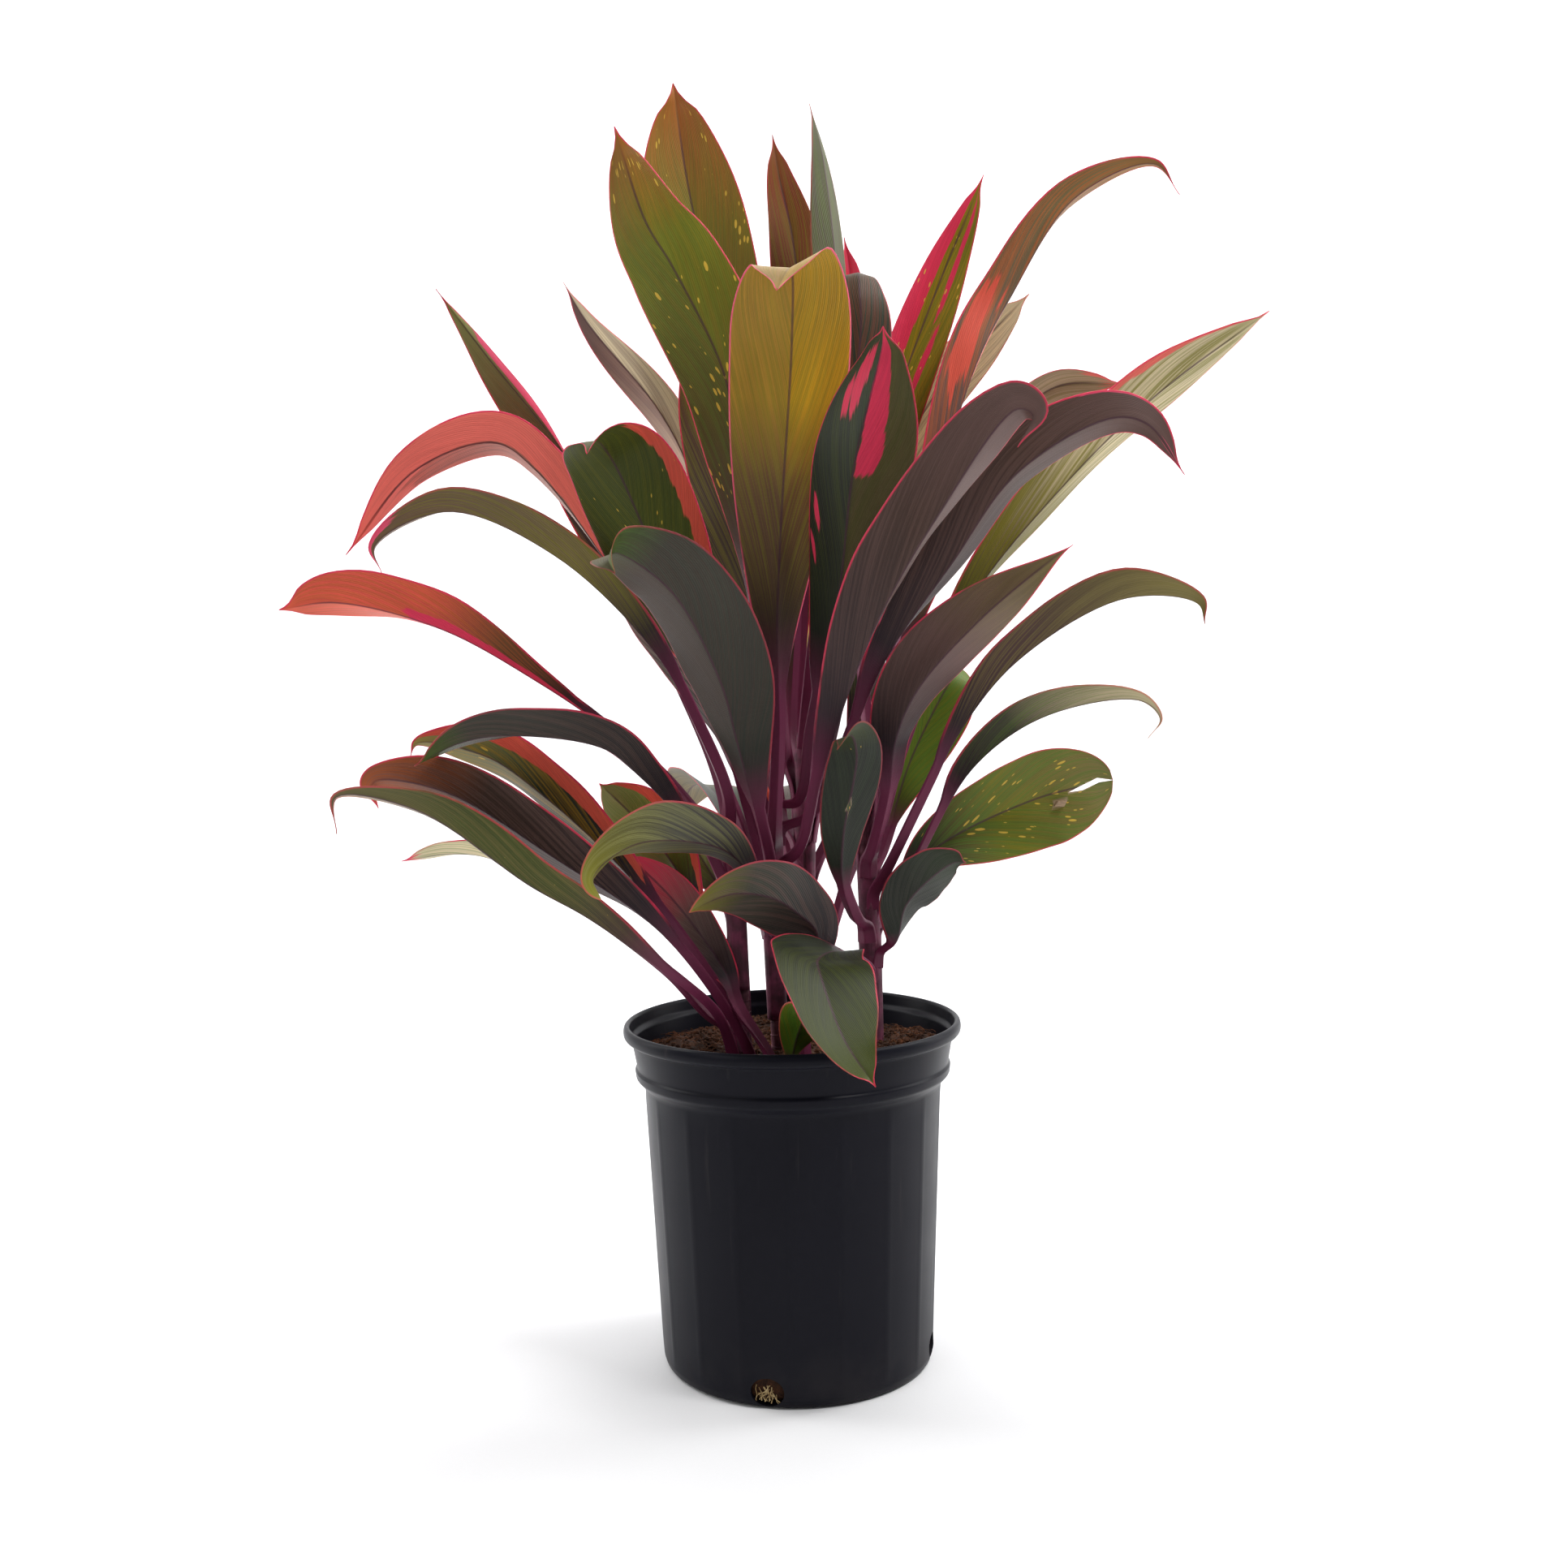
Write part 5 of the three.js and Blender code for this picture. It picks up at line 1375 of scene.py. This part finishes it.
def leaf_colours(leaf, place, dull):
    """The colours of one side of a leaf at each point, by the names of their attributes."""
    coat = leaf.coat
    foot = leaf.petiole

    # The ground runs from the stalk's colour to the tip's, with a tint on either half
    # The near-black foot of a blade is partly painted shade of the crowded heart, and the golden tips are
    # partly painted glow of light shining through the leaves
    blade_stops = [(0.12, coat.base), (coat.middle_at, coat.middle), (coat.end, coat.tip)]
    stops = [(0, coat.stalk), (foot * 0.9, coat.stalk)]
    stops += [(foot + (1 - foot) * at, colour) for at, colour in blade_stops]
    ground = mixed_stops(stops, place["share"])
    opened = smoothstep(place["blade"], 0.1, 0.35)
    for (tint, strength), side in ((coat.minus, -1), (coat.plus, 1)):
        there = smoothstep(place["across"] * side, -0.03, 0.08) * opened * strength
        ground = ground + (np.array(PIGMENTS[tint]) - ground) * there[..., None]
    if dull:
        ground = ground + (np.array(PIGMENTS["ash"]) - ground) * coat.dull * opened[..., None]

    # Streaks fill their bands, and stripes begin above the foot of the blade
    amount = np.zeros_like(opened)
    for v0, v1, b0, b1, full in coat.bands:
        wide = smoothstep(place["across"], v0 - 0.1, v0 + 0.1)
        wide = wide * (1 - smoothstep(place["across"], v1 - 0.1, v1 + 0.1))
        tall = smoothstep(place["blade"], b0 - 0.1, b0 + 0.1)
        tall = tall * (1 - smoothstep(place["blade"], b1 - 0.06, b1 + 0.1))
        amount = np.maximum(amount, wide * tall * full)
    stripe, strength = coat.stripe
    striped = smoothstep(place["blade"], 0.02, 0.3) * strength
    return {
        "ground": with_alpha(ground, 0 if dull else coat.flecks),
        "streak": with_alpha(PIGMENTS[coat.streak], amount),
        "stripe": with_alpha(PIGMENTS[stripe], striped),
        "trim": with_alpha(PIGMENTS[coat.trim_colour], coat.trim + 0 * amount)}


def with_alpha(colour, alpha):
    """Colours with an alpha, one for each point."""
    shape = np.broadcast_shapes(np.shape(colour)[:-1], np.shape(alpha))
    colour = np.broadcast_to(colour, (*shape, 3))
    return np.concatenate([colour, np.broadcast_to(alpha, shape)[..., None]], axis=-1)


def on_leaf(points, place, blade, across):
    """The point of a leaf's grid at a share of its blade and a place across it."""
    row = np.interp(blade, place["blade"][:, 0], np.arange(len(points)))
    column = np.interp(across, COLUMNS, np.arange(len(COLUMNS)))
    i, j = min(int(row), len(points) - 2), min(int(column), len(COLUMNS) - 2)
    u, w = row - i, column - j
    near = points[i, j] * (1 - w) + points[i, j + 1] * w
    far = points[i + 1, j] * (1 - w) + points[i + 1, j + 1] * w
    return near * (1 - u) + far * u


def tear_leaf(piece, outline, top, bottom, place):
    """Cuts an outline of (blade, across) out of a leaf."""
    upper = np.array([on_leaf(top, place, *point) for point in outline])
    lower = np.array([on_leaf(bottom, place, *point) for point in outline])
    normal = unit((upper - lower).mean(axis=0)) * TEAR_REACH
    count = len(outline)
    faces = [tuple(range(count)), tuple(range(2 * count - 1, count - 1, -1))]
    faces += [(i, i + count, (i + 1) % count + count, (i + 1) % count) for i in range(count)]
    mesh = bpy.data.meshes.new("tear")
    mesh.from_pydata(np.concatenate([upper + normal, lower - normal]) * MM, [], faces)
    shape = bmesh.new()
    shape.from_mesh(mesh)
    bmesh.ops.recalc_face_normals(shape, faces=shape.faces)
    shape.to_mesh(mesh)
    shape.free()
    cutter = bpy.data.objects.new("tear", mesh)
    bpy.context.scene.collection.objects.link(cutter)
    subtract(piece, cutter)


def nearest_points(mesh, points):
    """For each vertex the number of the nearest point, and whether the vertex lies off all points."""
    tree = KDTree(len(points))
    for number, point in enumerate(points):
        tree.insert(point, number)
    tree.balance()
    found = [tree.find(vertex.co) for vertex in mesh.vertices]
    return np.array([hit[1] for hit in found]), np.array([hit[2] > TORN_GAP * MM for hit in found])


def leaf_attributes(leaf, index, place, top_in_front, settings):
    """What the material reads at each point, first of the upper side and then of the lower."""
    count = leaf.width / 2 * MM / settings.vein_width
    vein = (np.abs(place["across"]) - VEIN_LEAN * place["blade"]) * count
    seed = np.full_like(vein, index * 7.3)
    vectors = {"lane": np.stack([place["across"], place["blade"], place["half"] * MM], axis=-1),
               "vein": np.stack([vein, place["reach"] * MM, seed], axis=-1)}
    upper = {**vectors, **leaf_colours(leaf, place, not top_in_front)}
    lower = {**vectors, **leaf_colours(leaf, place, top_in_front)}
    return {name: np.concatenate([upper[name], lower[name]]).reshape(-1, upper[name].shape[-1])
            for name in upper}


def add_attribute(mesh, name, values):
    """Three numbers to a point are a vector, and four are a colour."""
    kind, key = ("FLOAT_COLOR", "color") if values.shape[1] == 4 else ("FLOAT_VECTOR", "vector")
    attribute = mesh.attributes.new(name, kind, "POINT")
    attribute.data.foreach_set(key, np.ascontiguousarray(values, dtype=np.float32).ravel())


def make_leaf(leaf, index, material, settings):
    top, bottom, place = leaf_rows(leaf, index, settings)
    rows, columns = top.shape[:2]
    points = np.concatenate([top.reshape(-1, 3), bottom.reshape(-1, 3)]) * MM
    faces = shell_faces(rows, columns)[:, ::-1]
    piece = mesh_object(f"{leaf.name}_blade", points, faces, material)
    top_in_front = top[rows // 2, columns // 2, 1] < bottom[rows // 2, columns // 2, 1]
    attributes = leaf_attributes(leaf, index, place, top_in_front, settings)
    if leaf.name in TEARS:
        for outline in TEARS[leaf.name]:
            tear_leaf(piece, outline, top, bottom, place)
        piece.data.set_sharp_from_angle(angle=math.radians(TORN_SHARP_FROM))
        source, torn = nearest_points(piece.data, points)
        attributes = {name: values[source] for name, values in attributes.items()}
        attributes["ground"][torn] = (*PIGMENTS[DRY_RIM], 0)
        attributes["stripe"][torn, 3] = 0
    for name, values in attributes.items():
        add_attribute(piece.data, name, values)
    replace_node(piece, leaf.name)


def make_leaves(settings):
    kinds = sorted({leaf.kind for leaf in LEAVES})
    materials = {kind: leaf_material(f"leaf {kind}", settings) for kind in kinds}
    for index, leaf in enumerate(LEAVES):
        make_leaf(leaf, index, materials[leaf.kind], settings)


# Roots in the front drain hole

def make_roots():
    rng = np.random.default_rng(ROOT_SEED)
    turn = math.radians(DRAIN_FIRST_TURN)
    out = np.array([math.cos(turn), math.sin(turn), 0])
    along = np.array([-math.sin(turn), math.cos(turn), 0])
    points = []
    for _ in range(ROOT_COUNT):
        low, high = rng.uniform(3, 11), rng.uniform(13, 21)
        from_side, to_side = rng.uniform(-9, 9, 2)
        depth = BASE_RADIUS - rng.uniform(1, 3)
        points += [out * depth + along * from_side + (0, 0, low),
                   out * (depth - 1.5) + along * (from_side + to_side) / 2 + (0, 0, (low + high) / 2),
                   out * (depth - 4) + along * to_side + (0, 0, high)]
    source = bpy.data.meshes.new("strands")
    edges = [(i, i + 1) for i in range(len(points) - 1) if i % 3 != 2]
    source.from_pydata([tuple(p * MM) for p in points], edges, [])
    lines = bpy.data.objects.new("strands", source)
    bpy.context.scene.collection.objects.link(lines)
    roots = grown("root_strands", lines, strand_tree(), {
        "Radius": 0.4 * MM, "Wander": 5 * MM, "Material": root_material()})
    roots.data.shade_smooth()
    add_piece(roots)


# Stage, in metres

PAPER_FRONT = -4.0
PAPER_BACK = 2.2
PAPER_BEND = 0.6
PAPER_TOP = 4.0
PAPER_HALF_WIDTH = 5.0
WORLD_STRENGTH = 0.15

# Name, place, target, width, height and power of each light
LIGHTS = [
    ("key", (1.2, -0.9, 2.6), (0, 0, 0.6), 0.7, 0.7, 38),
    ("fill", (-1.7, -1.5, 1.4), (0, 0, 0.5), 1.0, 1.4, 9),
    ("left side", (-1.7, 0.5, 1.1), (0, 0, 0.4), 0.7, 1.8, 14),
    ("right side", (1.7, 0.5, 1.1), (0, 0, 0.4), 0.7, 1.8, 16),
    ("top", (0.1, 0.7, 2.6), (0, 0, 0.5), 1.4, 1.4, 26),
    ("left paper", (-1.6, 0.9, 2.4), (-0.5, 2.2, 1.0), 1.0, 2.0, 46),
    ("right paper", (1.6, 0.9, 2.4), (0.5, 2.2, 1.0), 1.0, 2.0, 46),
]


def area_light(name, place, target, width, height, power):
    light = bpy.data.lights.new(name, "AREA")
    light.shape = "RECTANGLE"
    light.size = width
    light.size_y = height
    light.energy = power
    holder = bpy.data.objects.new(name, light)
    holder.location = place
    holder.rotation_euler = (Vector(target) - Vector(place)).to_track_quat("-Z", "Y").to_euler()
    bpy.context.scene.collection.objects.link(holder)


def make_stage(settings):
    material, start = new_material("studio paper")
    grain = start.noise(object_place(start), 400, 3)
    colour = start.dim(settings.floor_colour, 0.98 + grain * 0.03)
    finish_material(start, {"Base Color": colour, "Roughness": 0.9}, grain, 0.05 * MM, 0.2)
    bend = [(PAPER_BACK - PAPER_BEND + PAPER_BEND * math.sin(a), PAPER_BEND - PAPER_BEND * math.cos(a))
            for a in np.linspace(0, math.pi / 2, 14)]
    line = [(PAPER_FRONT, 0.0), *bend, (PAPER_BACK, PAPER_TOP)]
    points = [(side * PAPER_HALF_WIDTH, y, z) for y, z in line for side in (-1, 1)]
    faces = [(i, i + 1, i + 3, i + 2) for i in range(0, len(points) - 3, 2)]
    floor = mesh_object("studio_floor", points, faces, material)
    for light in LIGHTS:
        area_light(*light)

    world = bpy.data.worlds.new("studio")
    world.use_nodes = True
    background = world.node_tree.nodes["Background"]
    background.inputs["Color"].default_value = (1, 1, 1, 1)
    background.inputs["Strength"].default_value = WORLD_STRENGTH
    scene = bpy.context.scene
    scene.world = world
    scene.view_settings.view_transform = "Standard"

    lens = bpy.data.cameras.new("camera")
    lens.sensor_width = 36
    lens.lens = settings.focal_length
    camera = bpy.data.objects.new("camera", lens)
    look = Matrix.Rotation(math.pi / 2 - settings.pitch, 4, "X") @ Matrix.Rotation(
        settings.roll, 4, "Z")
    place = Matrix.Translation((settings.side, -settings.distance, settings.eye_height))
    camera.matrix_world = place @ look
    scene.collection.objects.link(camera)
    scene.camera = camera


# Operators

def plant_settings(context):
    return context.scene.ti_plant


class TIPLANT_OT_stage(bpy.types.Operator):
    """Set up the floor, the lights and the camera"""

    bl_idname = "ti_plant.stage"
    bl_label = "Stage"

    def execute(self, context):
        make_stage(plant_settings(context).stage)
        return {"FINISHED"}


class TIPLANT_OT_pot(bpy.types.Operator):
    """Mould the pot with its collar, lip, panels and drain holes"""

    bl_idname = "ti_plant.pot"
    bl_label = "Pot"

    def execute(self, context):
        make_pot(plant_settings(context).pot)
        return {"FINISHED"}


class TIPLANT_OT_soil(bpy.types.Operator):
    """Fill the pot with potting mix, crumbs and coir fibres"""

    bl_idname = "ti_plant.soil"
    bl_label = "Soil"

    def execute(self, context):
        make_soil(plant_settings(context).soil)
        return {"FINISHED"}


class TIPLANT_OT_roots(bpy.types.Operator):
    """Show root strands in the front drain hole"""

    bl_idname = "ti_plant.roots"
    bl_label = "Roots"

    def execute(self, context):
        make_roots()
        return {"FINISHED"}


class TIPLANT_OT_canes(bpy.types.Operator):
    """Stand the canes in the soil and wrap them in sheaths"""

    bl_idname = "ti_plant.canes"
    bl_label = "Canes"

    def execute(self, context):
        make_canes()
        make_sheaths()
        return {"FINISHED"}


class TIPLANT_OT_leaves(bpy.types.Operator):
    """Grow every leaf round the canes"""

    bl_idname = "ti_plant.leaves"
    bl_label = "Leaves"

    def execute(self, context):
        make_leaves(plant_settings(context).leaf)
        return {"FINISHED"}


OPERATORS = (TIPLANT_OT_stage, TIPLANT_OT_pot, TIPLANT_OT_soil, TIPLANT_OT_roots,
             TIPLANT_OT_canes, TIPLANT_OT_leaves)


class TIPLANT_PT_panel(bpy.types.Panel):
    """Everything that dresses the ti plant"""

    bl_idname = "TIPLANT_PT_panel"
    bl_label = "Ti Plant"
    bl_space_type = "VIEW_3D"
    bl_region_type = "UI"
    bl_category = "Ti Plant"

    def draw(self, context):
        column = self.layout.column(align=True)
        for operator in OPERATORS:
            column.operator(operator.bl_idname)
        settings = plant_settings(context)
        for group in (settings.pot, settings.soil, settings.leaf, settings.stage):
            box = self.layout.box()
            for name in group.__annotations__:
                box.prop(group, name)


CLASSES = (PotSettings, SoilSettings, LeafSettings, StageSettings, PlantSettings,
           *OPERATORS, TIPLANT_PT_panel)


def register():
    for cls in CLASSES:
        bpy.utils.register_class(cls)
    bpy.types.Scene.ti_plant = PointerProperty(type=PlantSettings)


def unregister():
    del bpy.types.Scene.ti_plant
    for cls in reversed(CLASSES):
        bpy.utils.unregister_class(cls)


def corners(bounds):
    return [list(corner) for corner in bounds]


def main():
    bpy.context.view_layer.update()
    register()
    bpy.ops.ti_plant.stage()
    bpy.ops.ti_plant.pot()
    bpy.ops.ti_plant.soil()
    bpy.ops.ti_plant.roots()
    bpy.ops.ti_plant.canes()
    bpy.ops.ti_plant.leaves()


if __name__ == "__main__":
    main()
